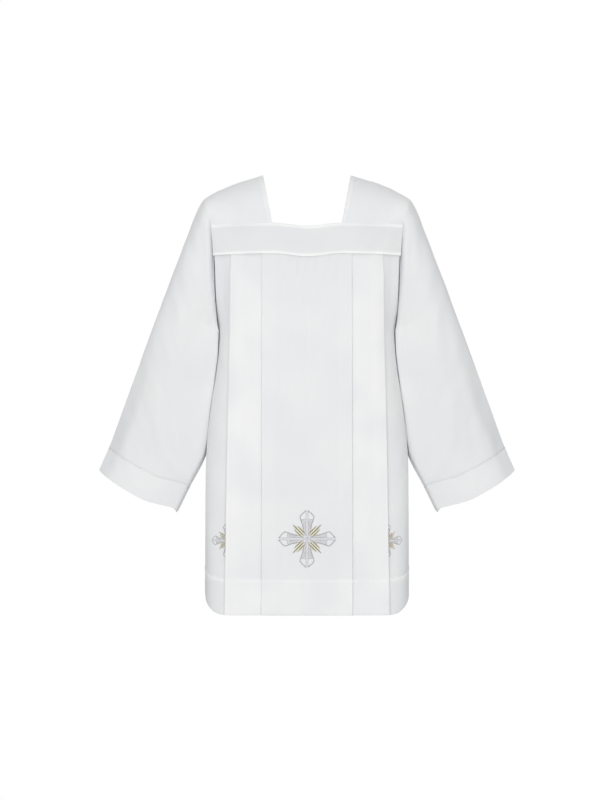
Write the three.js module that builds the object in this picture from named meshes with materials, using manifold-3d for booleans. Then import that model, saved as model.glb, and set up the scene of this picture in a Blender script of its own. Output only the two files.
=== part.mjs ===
// A square-necked surplice, filled out as it is worn, with its sleeves hanging a little away from the
// sides. Millimetres. X runs to the wearer's left, Y to the back, Z up. The origin lies midway between
// the tops of the two shoulder straps, where the wearer's shoulders carry the garment. Every piece of
// cloth is one closed wall, worked out from a few sizes and from short tables of levels and sections.
import * as THREE from 'three';
import Module from 'manifold-3d';

// Cloth and seams
const CLOTH = 1.0;             // wall of a single layer
const TURNED_HEM = 1.6;        // wall where the cloth is turned up double
const BAND = 2.0;              // the yoke bands are two layers with their turnings between
const SEAM_GAP = 0.3;          // air between two pieces where they are sewn
const HEM_STEP = 1.0;          // length over which the wall thickens at a hem's stitching

// Yoke bands
const BAND_TOP = -108;         // height of the bands' upper edge at the corners of the neck
const BAND_HEIGHT = 61;
const BAND_LAP = 9;            // the band overlaps the top of the pleated panel by this
const BELOW_BAND = 2;          // and the panel's next row of points lies this far below it
const BAND_OUT = 1.9;          // how far the band's middle stands off the panel at its ends
const BAND_END_DROP = 2;       // its ends lie lower by this
const BAND_EASE = 1.6;         // how it comes down over the pleats: more is later
const NECK_SAG = 6;            // dip of the band's free edge at the middle of the neck
const NECK_HALF = 70;          // half the neck opening along the band

// Body, seen from the front
const UNDERARM = -330;
const HEM_STITCH = -815;
const HEM = -884.5;
const SIDE_RISE = 50;          // the hem's corners are rounded, and rise by this at the side seams
const SIDE_CORNER = 40;        // from this far inside the silhouette
const STITCH_RISE = 0.4;       // its stitching rises by this share of it
const CORNER_DIP = 6;          // just before its corners the hem hangs lower than in the middle by this
const CORNER_DIP_WIDTH = 50;

// Armholes, seen from the side: straight down from the band, then a quarter of an ellipse
const ARMHOLE_HALF = 80;
const ARMHOLE_CURVE_TOP = -200;
const ARMHOLE_STRAIGHT_SHARE = 0.4;
const ARMHOLE_GAP = 0.95;      // a sleeve's edge faces the panel's, so half its wall is added to the gap
const STRAP_GAP = 0.45;        // a strap's curved edge faces the band's

// Sleeves
const SLIM_IN = 0.5;           // a hanging sleeve's slim on the side of the body, where it is square
const SLIM_IN_START = 1.4;     // it goes over to that between these steps
const SLIM_IN_END = 2.2;
const HUG_START = 1.7;         // below the armhole it follows the side of the body
const HUG_RUN = 0.35;
const HUG_TURN = 0.65;         // up to this turn of its section, in radians
const HUG_TURN_RUN = 0.7;      // and lets go of it within this
const CORNER_EDGE = 7;         // how sharply the strip to the upper fold starts
const CUFF_DIP = 9;            // the front and back of the cuff hang lower than its folds by this
const CUFF_DIP_START = 2.6;    // from this step on
const CUFF_LEAN = [0.45, -0.9];  // the sleeve's direction there, seen from the front

// Stacked box pleat, front and back. The middle of the panel lies on top. Each side of it folds back
// under itself, comes forward as a strip, folds back once more and comes forward as the side.
const PLEAT_INNER = 88.5;      // from the middle to the first fold
const PLEAT_OUTER_TOP = 151.1; // from the middle to the second fold, at the band
const PLEAT_OUTER_HEM = 160.9; // and at the hem
const PLEAT_UNDER = 27;        // how far the cloth is folded back
const PLEAT_STEP_TOP = 1.5;    // from layer to layer at the band, where the folds are pressed
const PLEAT_STEP_HEM = 2.4;    // and at the hem, where they hang open
const TOP_LAYER = 4;
const STRIP_LAYER = 2;

// Embroidered crosses near the hem
const CROSS_HEIGHT = -734;
const CROSS_ARM = 56;
const CROSS_RELIEF = 0.8;
const CROSS_GAP = 0.55;        // air under a cross, above the facets of the cloth
const SIDE_CROSS_SIZE = 0.62;  // the side crosses are smaller
const SIDE_CROSS_DROP = 4.5;   // and lie lower
const SIDE_CROSS_UNDER = 1.5;  // their middles lie this far under the second fold
const SIDE_CROSS_CLEAR = 2.2;  // and they show from this far outside it

// The body at each level: half its width between the sleeves, and its depth before and behind
// the side seams. power 2 is an ellipse; more is a flatter front with rounder sides.
const BODY_LEVELS = [
  { z: -100, halfWidth: 191.5, front: 97, back: 100, power: 2.7 },
  { z: -175, halfWidth: 186, front: 108, back: 112, power: 2.9 },
  { z: -250, halfWidth: 183.5, front: 114, back: 116, power: 3.4 },
  { z: -330, halfWidth: 179, front: 117, back: 115, power: 3.8 },
  { z: -400, halfWidth: 185, front: 119, back: 114, power: 3.9 },
  { z: -470, halfWidth: 195, front: 121, back: 115, power: 3.8 },
  { z: -560, halfWidth: 203.9, front: 123, back: 118, power: 4.3 },
  { z: -700, halfWidth: 205.3, front: 125, back: 122, power: 5.6 },
  { z: -885, halfWidth: 204.8, front: 126, back: 125, power: 6.2 },
];

// The sleeve, whose shoulder strap is cut in one with it. Each row is a section that runs from the
// front seam over the arm to the back seam. step 0 to 1 follows the band's upper edge from the neck
// to the armhole, 1 to 2 goes down round the armhole to the underarm, and 2 to 3 follows the
// underarm seam to the cuff. topX and topZ place the section's highest point, and depth is half
// its depth. slim shapes the upper half of its arch: 1 is an ellipse, less is squarer, and more slopes
// off earlier. strip is the share of its width that slopes straight off to the pressed upper fold,
// which is deep by the share fold.
const SLEEVE_SECTIONS = [
  { step: 0, topX: 90, topZ: 0, depth: 97, slim: 1.15, strip: 0.01, fold: 0 },
  { step: 0.5, topX: 155, topZ: -21, depth: 93, slim: 1.15, strip: 0.01, fold: 0 },
  { step: 1, topX: 209, topZ: -50, depth: 87, slim: 0.9, strip: 0.02, fold: 0.3 },
  { step: 1.15, topX: 223, topZ: -74, depth: 87, slim: 0.72, strip: 0.04, fold: 0.6 },
  { step: 1.5, topX: 250.5, topZ: -146, depth: 87, slim: 0.52, strip: 0.06, fold: 0.7 },
  { step: 2, topX: 290, topZ: -250, depth: 78, slim: 0.45, strip: 0.1, fold: 0.68 },
  { step: 2.3, topX: 327, topZ: -349, depth: 69, slim: 0.42, strip: 0.16, fold: 0.52 },
  { step: 2.6, topX: 363, topZ: -446, depth: 56, slim: 0.42, strip: 0.24, fold: 0.28 },
  { step: 2.86, topX: 404, topZ: -557, depth: 49, slim: 0.45, strip: 0.28, fold: 0.24 },
  { step: 3, topX: 424, topZ: -602, depth: 46, slim: 0.5, strip: 0.3, fold: 0.24 },
];

// The underarm seam, from the armhole to the cuff. It hangs beside the body, then leaves it.
const UNDERARM_SEAM = [
  { step: 2, x: 181.4, z: -331.2 },
  { step: 2.15, x: 186, z: -384 },
  { step: 2.3, x: 192.7, z: -438 },
  { step: 2.45, x: 201.2, z: -498 },
  { step: 2.6, x: 206.5, z: -556 },
  { step: 2.68, x: 212.5, z: -583 },
  { step: 2.86, x: 242.5, z: -640 },
  { step: 3, x: 266, z: -687.5 },
];

// The largest soft troughs down the sleeves, as straight lines seen from the front, which the back
// repeats. width is half the trough's, and depth is how far the cloth sinks.
const SLEEVE_TROUGHS = [
  { x1: 262, z1: -190, x2: 292, z2: -520, width: 17, depth: 4.0 },
  { x1: 300, z1: -300, x2: 352, z2: -590, width: 15, depth: 4.5 },
  { x1: 232, z1: -250, x2: 240, z2: -560, width: 13, depth: 3.5 },
  { x1: 345, z1: -440, x2: 398, z2: -600, width: 11, depth: 3.5 },
];

// Half the width of a cross's arm at each distance from its middle
const CROSS_ARM_SHAPE = [
  { from: 0, half: 5.5 },
  { from: 14, half: 6 },
  { from: 30, half: 9.5 },
  { from: 42, half: 14 },
  { from: 48, half: 11 },
  { from: CROSS_ARM, half: 1.5 },
];

// How finely the walls are divided
const CENTRE_PARTS = 3;
const STRIP_PARTS = 4;
const UNDER_PARTS = 1;
const SIDE_PARTS = 7;
const BAND_PARTS = 26;
const BAND_ROWS = 3;
const SLEEVE_HALF_PARTS = 13;
const ARC_SAMPLES = 160;
const ARMHOLE_SHARES = [0, 0.135, 0.267, 0.4, 0.52, 0.64, 0.76, 0.88, 1];
const NECK_HEM_STEP = 0.05;
const STRAP_STEPS = [0, NECK_HEM_STEP - 0.01, NECK_HEM_STEP, 0.25, 0.5, 0.75];
const CUFF_STITCH_STEP = 2.86;
const TUBE_STEPS = [2.08, 2.16, 2.24, 2.32, 2.4, 2.48, 2.56, 2.64, 2.72, 2.79,
  CUFF_STITCH_STEP - 0.005, CUFF_STITCH_STEP, 2.93, 3];
const LOWER_LEVELS = [-365, -400, -440, -480, -525, -570, -640, -725];

const mix = (a, b, t) => a + (b - a) * t;
const clamp01 = (t) => Math.min(1, Math.max(0, t));
const ease = (t) => clamp01(t) ** 2 * (3 - 2 * clamp01(t));

// A smooth curve through one column of a table, as a function of its key column.
function along(table, key, column, at) {
  const up = table[table.length - 1][key] > table[0][key] ? 1 : -1;
  const after = table.findIndex((row) => (row[key] - at) * up > 0);
  const last = table.length - 2;
  const i = Math.min(last, Math.max(0, after < 0 ? last : after - 1));
  const slope = (j) => {
    const before = table[Math.max(0, j - 1)];
    const behind = table[Math.min(table.length - 1, j + 1)];
    return (behind[column] - before[column]) / (behind[key] - before[key]);
  };
  const [a, b] = [table[i], table[i + 1]];
  const span = b[key] - a[key];
  const t = clamp01((at - a[key]) / span);
  return a[column] * (1 + 2 * t) * (1 - t) ** 2 + b[column] * t * t * (3 - 2 * t)
    + slope(i) * span * t * (1 - t) ** 2 - slope(i + 1) * span * t * t * (1 - t);
}

// Half the armhole's width, seen from the side, at a height.
function armholeHalf(z) {
  if (z >= ARMHOLE_CURVE_TOP) return ARMHOLE_HALF;
  const drop = (ARMHOLE_CURVE_TOP - z) / (ARMHOLE_CURVE_TOP - UNDERARM);
  return drop >= 1 ? 0 : ARMHOLE_HALF * Math.sqrt(1 - drop * drop);
}

// The height of a point that lies a share of the way down round the armhole.
function armholeHeight(share) {
  if (share <= ARMHOLE_STRAIGHT_SHARE) {
    return mix(BAND_TOP - BAND_END_DROP, ARMHOLE_CURVE_TOP, share / ARMHOLE_STRAIGHT_SHARE);
  }
  const turn = (share - ARMHOLE_STRAIGHT_SHARE) / (1 - ARMHOLE_STRAIGHT_SHARE) * Math.PI / 2;
  return ARMHOLE_CURVE_TOP - (ARMHOLE_CURVE_TOP - UNDERARM) * Math.sin(turn);
}

// Half of the body's outline at a height, from the middle of the front (side -1) or back (side 1)
// to the armhole or side seam. It is a superellipse, and its lengths are measured along the cloth.
const outlines = new Map();
function halfOutline(z, side) {
  const key = `${z},${side}`;
  if (outlines.has(key)) return outlines.get(key);
  const deep = along(BODY_LEVELS, 'z', side < 0 ? 'front' : 'back', z);
  const power = along(BODY_LEVELS, 'z', 'power', z);
  const edge = armholeHalf(z);
  const wide = along(BODY_LEVELS, 'z', 'halfWidth', z) / (1 - (edge / deep) ** power) ** (1 / power);
  const edgeTurn = Math.acos((edge / deep) ** (power / 2));
  const points = [];
  for (let i = 0; i <= ARC_SAMPLES; i += 1) {
    const turn = edgeTurn * i / ARC_SAMPLES;
    const x = wide * Math.sin(turn) ** (2 / power);
    const y = deep * Math.max(0, Math.cos(turn)) ** (2 / power);
    const last = points[i - 1] ?? { x, y, length: 0 };
    points.push({ x, y, length: last.length + Math.hypot(x - last.x, y - last.y) });
  }
  outlines.set(key, points);
  return points;
}

// How far the side edge of the front or back is from its middle, along the cloth, at a height.
const edgeAt = (z, side) => halfOutline(z, side)[ARC_SAMPLES].length;

// A point of the body: across is measured along the cloth from the middle, and out is how far the
// point stands off the panel's lowest cloth.
function bodyPoint(across, out, z, side) {
  const points = halfOutline(z, side);
  const want = Math.abs(across);
  const next = points.findIndex((p) => p.length > want);
  const i = next < 0 ? points.length - 1 : Math.max(1, next);
  const [a, b] = [points[i - 1], points[i]];
  const span = b.length - a.length;
  const [alongX, alongY] = [(b.x - a.x) / span, (b.y - a.y) / span];
  const x = a.x + alongX * (want - a.length) - alongY * out;
  const y = a.y + alongY * (want - a.length) + alongX * out;
  return new THREE.Vector3(across < 0 ? -x : x, side * y, z);
}

// The band's upper edge, and how far its middle stands off the panel. It lies over the pleats.
function bandTop(across) {
  const dip = Math.cos(Math.PI / 2 * clamp01(Math.abs(across) / NECK_HALF)) ** 2;
  const drop = clamp01(Math.abs(across) / BODY_LEVELS[0].halfWidth) ** 4;
  return BAND_TOP - NECK_SAG * dip - BAND_END_DROP * drop;
}
function bandOut(across, edge) {
  const beyond = clamp01((Math.abs(across) - PLEAT_INNER) / (edge - PLEAT_INNER));
  return BAND_OUT + TOP_LAYER * pleatStep(BAND_TOP - BAND_HEIGHT) * (1 - beyond ** BAND_EASE);
}

// The share of its rise that the hem has reached, round its corner to the side seam.
function cornerRise(across, side) {
  const { halfWidth } = BODY_LEVELS[BODY_LEVELS.length - 1];
  const x = Math.abs(bodyPoint(across, 0, HEM_STITCH, side).x);
  return 1 - Math.sqrt(1 - clamp01(1 - (halfWidth - x) / SIDE_CORNER) ** 2);
}

// The height of the hem's stitching, and of the lower edge.
const stitchHeight = (across, side) => HEM_STITCH + STITCH_RISE * SIDE_RISE * cornerRise(across, side);
function hemHeight(across, side) {
  const depth = Math.abs(bodyPoint(across, 0, HEM_STITCH, side).y);
  const middle = Math.abs(bodyPoint(0, 0, HEM_STITCH, side).y);
  return HEM - CORNER_DIP * ease((middle - depth) / CORNER_DIP_WIDTH)
    + SIDE_RISE * cornerRise(across, side);
}

const pleatStep = (z) => mix(PLEAT_STEP_TOP, PLEAT_STEP_HEM, clamp01((BAND_TOP - z) / (BAND_TOP - HEM)));
const pleatOuter = (z) => mix(PLEAT_OUTER_TOP, PLEAT_OUTER_HEM, clamp01((BAND_TOP - z) / (BAND_TOP - HEM)));

// Half of a pleated panel at a height, from its middle to its side edge. layer counts the steps
// above the lowest cloth, and faceAcross and faceOut point to the side of the cloth's outer face.
function foldedHalf(z, edge) {
  const outer = pleatOuter(z);
  const runs = [
    { from: 0, to: PLEAT_INNER, layer: TOP_LAYER, parts: CENTRE_PARTS },
    { from: PLEAT_INNER, to: PLEAT_INNER - PLEAT_UNDER, layer: TOP_LAYER - 1, parts: UNDER_PARTS },
    { from: PLEAT_INNER - PLEAT_UNDER, to: outer, layer: STRIP_LAYER, parts: STRIP_PARTS },
    { from: outer, to: outer - PLEAT_UNDER, layer: STRIP_LAYER - 1, parts: UNDER_PARTS },
    { from: outer - PLEAT_UNDER, to: edge, layer: 0, parts: SIDE_PARTS },
  ];
  const line = [];
  runs.forEach((run, i) => {
    const way = Math.sign(run.to - run.from);
    for (let k = 0; k <= run.parts; k += 1) {
      const across = mix(run.from, run.to, k / run.parts);
      line.push({ across, layer: run.layer, faceAcross: 0, faceOut: way });
    }
    if (i === runs.length - 1) return;
    const fold = run.to + way * pleatStep(z) / 2;
    line.push({ across: fold, layer: run.layer - 0.5, faceAcross: 1, faceOut: 0 });
  });
  return line;
}

// A closed wall between an outer and an inner grid of points. From the row joinedFrom on, the last
// column is the first one again, so the wall closes to a tube there.
function wall(outer, inner, joinedFrom = Infinity) {
  const rows = outer.length;
  const columns = outer[0].length;
  const positions = [];
  const numbers = new Map();
  const at = (layer, r, c) => {
    const column = r >= joinedFrom && c === columns - 1 ? 0 : c;
    const key = (layer * rows + r) * columns + column;
    if (!numbers.has(key)) {
      numbers.set(key, numbers.size);
      positions.push(...(layer ? inner : outer)[r][column].toArray());
    }
    return numbers.get(key);
  };
  const index = [];
  const quad = (a, b, c, d) => index.push(a, b, c, a, c, d);
  for (let r = 0; r < rows - 1; r += 1) {
    for (let c = 0; c < columns - 1; c += 1) {
      quad(at(0, r, c), at(0, r, c + 1), at(0, r + 1, c + 1), at(0, r + 1, c));
      quad(at(1, r, c), at(1, r + 1, c), at(1, r + 1, c + 1), at(1, r, c + 1));
    }
  }
  for (let c = 0; c < columns - 1; c += 1) {
    quad(at(0, 0, c), at(1, 0, c), at(1, 0, c + 1), at(0, 0, c + 1));
    quad(at(0, rows - 1, c + 1), at(1, rows - 1, c + 1), at(1, rows - 1, c), at(0, rows - 1, c));
  }
  for (let r = 0; r < Math.min(rows - 1, joinedFrom); r += 1) {
    quad(at(0, r + 1, 0), at(1, r + 1, 0), at(1, r, 0), at(0, r, 0));
    quad(at(0, r, columns - 1), at(1, r, columns - 1), at(1, r + 1, columns - 1), at(0, r + 1, columns - 1));
  }
  return facingOut(positions, index);
}

// The geometry of a closed surface. Its signed volume tells whether it is inside out.
function facingOut(positions, index) {
  const p = (i) => new THREE.Vector3().fromArray(positions, 3 * i);
  let volume = 0;
  for (let i = 0; i < index.length; i += 3) {
    volume += p(index[i]).dot(p(index[i + 1]).cross(p(index[i + 2])));
  }
  if (volume < 0) {
    for (let i = 0; i < index.length; i += 3) [index[i], index[i + 1]] = [index[i + 1], index[i]];
  }
  const geometry = new THREE.BufferGeometry();
  geometry.setAttribute('position', new THREE.Float32BufferAttribute(positions, 3));
  geometry.setIndex(index);
  geometry.computeVertexNormals();
  return geometry;
}

// The front or the back, from just above the band's lower edge to the hem.
function panel(side) {
  const rows = [
    { z: (across) => bandTop(across) - BAND_HEIGHT + BAND_LAP, thick: CLOTH },
    { z: (across) => bandTop(across) - BAND_HEIGHT - BELOW_BAND, thick: CLOTH },
  ];
  for (const share of ARMHOLE_SHARES.filter((s) => s >= ARMHOLE_STRAIGHT_SHARE)) {
    rows.push({ z: () => armholeHeight(share), thick: CLOTH });
  }
  for (const z of LOWER_LEVELS) rows.push({ z: () => z, thick: CLOTH });
  const stitch = (across) => stitchHeight(across, side);
  const hem = (across) => hemHeight(across, side);
  rows.push({ z: (across) => stitch(across) + HEM_STEP / 2, thick: CLOTH });
  rows.push({ z: (across) => stitch(across) - HEM_STEP / 2, thick: TURNED_HEM });
  rows.push({ z: (across) => mix(stitch(across), hem(across), 0.5), thick: TURNED_HEM });
  rows.push({ z: hem, thick: TURNED_HEM });

  const outer = [];
  const inner = [];
  for (const row of rows) {
    const sample = row.z(PLEAT_OUTER_TOP);
    const seam = sample > UNDERARM ? 0 : SEAM_GAP / 2;
    const half = foldedHalf(sample, edgeAt(row.z(edgeAt(sample, side)), side) - seam);
    const mirrored = half.slice(1).reverse();
    const line = [
      ...mirrored.map((p) => ({ ...p, across: -p.across, faceAcross: -p.faceAcross })),
      ...half,
    ];
    const place = (p, offset) => {
      const z = row.z(p.across);
      const out = p.layer * pleatStep(z) + p.faceOut * offset;
      return bodyPoint(p.across + p.faceAcross * offset, out, z, side);
    };
    outer.push(line.map((p) => place(p, row.thick / 2)));
    inner.push(line.map((p) => place(p, -row.thick / 2)));
  }
  return wall(outer, inner);
}

// The straight double band above the front or back panel.
function yoke(side) {
  const outer = [];
  const inner = [];
  for (let r = 0; r <= BAND_ROWS; r += 1) {
    const level = (across) => bandTop(across) - BAND_HEIGHT * r / BAND_ROWS;
    const edge = edgeAt(level(PLEAT_OUTER_TOP), side);
    const place = (share, offset) => {
      const across = share * edge;
      return bodyPoint(across, bandOut(across, edge) + offset, level(across), side);
    };
    const shares = Array.from({ length: BAND_PARTS + 1 }, (_, c) => mix(-1, 1, c / BAND_PARTS));
    outer.push(shares.map((share) => place(share, BAND / 2)));
    inner.push(shares.map((share) => place(share, -BAND / 2)));
  }
  return wall(outer, inner);
}

// The sleeve's seam to the band, the armhole and itself, on the front (side -1) or back (side 1).
function sleeveSeam(step, side) {
  if (step >= 2) {
    const [x, z] = ['x', 'z'].map((column) => along(UNDERARM_SEAM, 'step', column, step));
    return new THREE.Vector3(x, 0, z);
  }
  const z = armholeHeight(Math.max(0, step - 1));
  const edge = edgeAt(z, side);
  if (step <= 1) {
    const across = mix(NECK_HALF, edge + ARMHOLE_GAP, step);
    return bodyPoint(across, bandOut(across, edge), bandTop(across) + STRAP_GAP, side);
  }
  const beyond = ARMHOLE_GAP * armholeHalf(z) / ARMHOLE_HALF;
  return bodyPoint(edge + beyond, BAND_OUT, z, side);
}

// How far a point of the sleeve, seen from the front, sinks into the troughs.
function troughDepth(x, z) {
  return SLEEVE_TROUGHS.reduce((sum, t) => {
    const [dx, dz] = [t.x2 - t.x1, t.z2 - t.z1];
    const length = Math.hypot(dx, dz);
    const share = ((x - t.x1) * dx + (z - t.z1) * dz) / length ** 2;
    const off = ((x - t.x1) * dz - (z - t.z1) * dx) / length;
    const ends = Math.sin(Math.PI * clamp01(share)) ** 0.7;
    return sum + t.depth * ends * Math.exp(-((off / t.width) ** 2));
  }, 0);
}

// How far out the side of the body is, below the armholes, before or behind the side seam by y.
function bodySide(y, z) {
  const deep = along(BODY_LEVELS, 'z', y < 0 ? 'front' : 'back', z);
  const power = along(BODY_LEVELS, 'z', 'power', z);
  return along(BODY_LEVELS, 'z', 'halfWidth', z) * (1 - Math.abs(y / deep) ** power) ** (1 / power);
}

// The smaller of two numbers, rounded off where they meet.
function softer(a, b) {
  const least = 1e-9;
  return a * b / Math.max(least, (a ** CORNER_EDGE + b ** CORNER_EDGE) ** (1 / CORNER_EDGE));
}

// The middle of the sleeve's cloth. round goes from -1 at the front seam, over the top at 0, to 1.
function sleevePoint(step, round) {
  const side = round < 0 ? -1 : 1;
  const seam = sleeveSeam(step, side);
  const section = (column) => along(SLEEVE_SECTIONS, 'step', column, step);
  const deep = Math.max(section('depth'), Math.abs(seam.y));
  const slimIn = mix(section('slim'), SLIM_IN, ease((step - SLIM_IN_START) / (SLIM_IN_END - SLIM_IN_START)));
  const start = Math.asin((Math.abs(seam.y) / deep) ** (1 / slimIn));
  const turn = mix(Math.PI, start, Math.abs(round));
  const share = (Math.cos(start) - Math.cos(turn)) / (Math.cos(start) + 1);
  const inside = turn < Math.PI / 2;
  const dip = CUFF_DIP * ease((step - CUFF_DIP_START) / (3 - CUFF_DIP_START)) * Math.sin(turn);
  const z = mix(seam.z, section('topZ'), share) + CUFF_LEAN[1] * dip;
  const arch = Math.max(0, Math.sin(turn)) ** (inside ? slimIn : section('slim'));
  const slope = Math.max(0, mix(section('fold'), 1, (1 - share) / section('strip')));
  const y = side * deep * softer(arch, slope);
  const hug = ease((step - HUG_START) / HUG_RUN) * (1 - ease((turn - HUG_TURN) / HUG_TURN_RUN));
  const beside = seam.x + bodySide(y, Math.min(z, UNDERARM)) - bodySide(0, Math.min(seam.z, UNDERARM));
  const x = mix(mix(seam.x, section('topX'), share) + CUFF_LEAN[0] * dip, beside, hug);
  return new THREE.Vector3(x, y, z);
}

// The left sleeve, or the right one as its mirror image.
function sleeve(hand) {
  const steps = [...STRAP_STEPS, ...ARMHOLE_SHARES.map((share) => 1 + share), ...TUBE_STEPS];
  const rounds = Array.from({ length: 2 * SLEEVE_HALF_PARTS + 1 }, (_, c) => c / SLEEVE_HALF_PARTS - 1);
  const small = 1e-3;
  const outer = [];
  const inner = [];
  for (const step of steps) {
    const thick = step < NECK_HEM_STEP || step >= CUFF_STITCH_STEP ? TURNED_HEM : CLOTH;
    const place = (round, offset) => {
      const point = sleevePoint(step, round);
      const down = sleevePoint(step === 3 ? step : step + small, round)
        .sub(sleevePoint(step === 3 ? step - small : step, round));
      const over = sleevePoint(step, Math.min(1, round + small))
        .sub(sleevePoint(step, Math.max(-1, round - small)));
      const normal = over.cross(down).normalize();
      const sink = troughDepth(point.x, point.z) * Math.sin(Math.PI * Math.abs(round)) ** 0.5;
      point.addScaledVector(normal, offset - sink);
      return new THREE.Vector3(hand * point.x, point.y, point.z);
    };
    outer.push(rounds.map((round) => place(round, thick / 2)));
    inner.push(rounds.map((round) => place(round, -thick / 2)));
  }
  return wall(outer, inner, steps.indexOf(2));
}

// A bar of a cross, between two distances from its middle, lying on a layer of the front. size
// scales the whole cross. Turned bars run up and down.
function crossBar({ middle, height, size, from, to, layer, turned }) {
  const shape = CROSS_ARM_SHAPE.map((row) => ({ from: row.from * size, half: row.half * size }));
  const halfAt = (distance) => along(shape, 'from', 'half', distance);
  const marks = shape.map((row) => row.from).filter((d) => d > from && d < to);
  const stations = from < 0 ? [...shape.slice(1).map((row) => -row.from).reverse(),
    ...shape.map((row) => row.from)] : [from, ...marks, to];
  const base = layer * pleatStep(height) + CLOTH / 2 + CROSS_GAP;
  const place = (distance, share, out) => {
    const aside = share * halfAt(Math.abs(distance));
    const [across, up] = turned ? [aside, distance] : [Math.sign(middle || 1) * distance, aside];
    return bodyPoint(middle + across, out, height + up, -1);
  };
  const grid = (out) => stations.map((d) => [-1, 0, 1].map((share) => place(d, share, out)));
  return wall(grid(base + CROSS_RELIEF), grid(base));
}

// Joins two closed geometries into one.
function joined(wasm, first, second) {
  const solid = (geometry) => new wasm.Manifold(new wasm.Mesh({
    numProp: 3,
    vertProperties: geometry.getAttribute('position').array,
    triVerts: Uint32Array.from(geometry.getIndex().array),
  }));
  const { vertProperties, triVerts } = solid(first).add(solid(second)).getMesh();
  return facingOut([...vertProperties], [...triVerts]);
}

const cloth = new THREE.MeshStandardMaterial({ color: 0xf3f4f6, roughness: 0.85 });
const doubleCloth = new THREE.MeshStandardMaterial({ color: 0xf8f9fa, roughness: 0.85 });
const silverThread = new THREE.MeshStandardMaterial({ color: 0xb7b9c2, roughness: 0.45, metalness: 0.2 });

const wasm = await Module();
wasm.setup();
const whole = {
  middle: 0, height: CROSS_HEIGHT, size: 1, from: -CROSS_ARM, to: CROSS_ARM, layer: TOP_LAYER,
};
const frontCross = joined(wasm, crossBar({ ...whole, turned: true }), crossBar({ ...whole, turned: false }));
const sideCross = (hand) => crossBar({
  middle: hand * (pleatOuter(CROSS_HEIGHT) - SIDE_CROSS_UNDER),
  height: CROSS_HEIGHT - SIDE_CROSS_DROP,
  size: SIDE_CROSS_SIZE,
  from: SIDE_CROSS_UNDER + SIDE_CROSS_CLEAR,
  to: CROSS_ARM * SIDE_CROSS_SIZE,
  layer: 0,
  turned: false,
});

const surplice = new THREE.Group();
const pieces = [
  ['front_yoke', yoke(-1), doubleCloth],
  ['back_yoke', yoke(1), doubleCloth],
  ['front_panel', panel(-1), cloth],
  ['back_panel', panel(1), cloth],
  ['left_sleeve', sleeve(1), cloth],
  ['right_sleeve', sleeve(-1), cloth],
  ['front_cross', frontCross, silverThread],
  ['left_side_cross', sideCross(1), silverThread],
  ['right_side_cross', sideCross(-1), silverThread],
];
for (const [name, geometry, material] of pieces) {
  const mesh = new THREE.Mesh(geometry, material);
  mesh.name = name;
  surplice.add(mesh);
}

export default surplice;
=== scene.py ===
# A white square-necked surplice, filled out as it is worn, with stacked box pleats front and back,
# straight double yokes, wide sleeves and embroidered crosses. Lengths are in millimetres up to the
# place where a mesh gets its points, and in metres from there on. X runs to the wearer's left, Y to
# the back, Z up, and the origin lies between the tops of the two shoulder straps.
import math

import bpy
import numpy as np
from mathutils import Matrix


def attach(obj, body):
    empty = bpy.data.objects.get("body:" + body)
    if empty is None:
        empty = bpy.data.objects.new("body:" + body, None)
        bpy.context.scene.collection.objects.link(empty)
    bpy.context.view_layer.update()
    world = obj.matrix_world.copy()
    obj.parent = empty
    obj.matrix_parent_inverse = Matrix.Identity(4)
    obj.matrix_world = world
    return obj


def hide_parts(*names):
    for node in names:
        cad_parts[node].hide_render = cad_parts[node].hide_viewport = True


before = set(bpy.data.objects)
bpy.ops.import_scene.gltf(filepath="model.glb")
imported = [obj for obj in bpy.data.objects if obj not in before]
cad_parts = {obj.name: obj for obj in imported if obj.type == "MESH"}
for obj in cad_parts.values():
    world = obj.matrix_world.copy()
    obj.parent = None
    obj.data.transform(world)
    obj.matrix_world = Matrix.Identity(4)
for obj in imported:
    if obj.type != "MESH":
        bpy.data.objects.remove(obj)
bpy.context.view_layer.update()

MM = 0.001


def table(columns, *rows):
    """Rows of named values: the names of the columns, then the values row by row."""
    return [dict(zip(columns.split(), row)) for row in rows]


# Cloth and hems
CLOTH = 0.5                  # the wall of one layer; the real cloth is about 0.3
HEM_PLY = 0.4                # a turned-up hem's two layers lie this far each side of the cloth's middle
HEM_RIDGE = 0.4              # the raw edge turned in under the stitching lifts the cloth by this
RIDGE_WIDTH = 5.0
ALLOWANCE = 7.0              # seam allowances turned to the inside
SEAM_RADIUS = 0.8            # the cloth turns in at a seam on this radius
SEAM_GAP = 0.3

# Yoke bands
BAND_TOP = -108.0
BAND_HEIGHT = 61.0
BAND_LAP = 9.0
BAND_OUT = 1.5               # cloth is thinner than the solids' walls, so its layers lie closer
BAND_END_DROP = 2.0
BAND_EASE = 1.15
BAND_PLY = 0.7               # the outer layer lies this far in front of the band's middle
BAND_LINING = 0.85           # and at the lower edge the inner one this far behind it
BAND_WELT = 0.5              # the turnings inside lift the band's edges by this
BAND_WELT_WIDTH = 5.5
BAND_TURNING = 8.0
NECK_SAG = 6.0
NECK_HALF = 70.0
STRAP_GAP = 0.45

# Body
UNDERARM = -330.0
HEM_STITCH = -815.0
HEM = -884.5
SIDE_RISE = 50.0             # the hem's corners are rounded, and rise by this at the side seams
SIDE_CORNER = 40.0           # from this far inside the silhouette
STITCH_RISE = 0.4            # its stitching rises by this share of it
CORNER_DIP = 6.0
CORNER_DIP_WIDTH = 50.0

# Armholes
ARMHOLE_HALF = 80.0
ARMHOLE_CURVE_TOP = -200.0
ARMHOLE_STRAIGHT_SHARE = 0.4
ARMHOLE_GAP = 0.45

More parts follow.
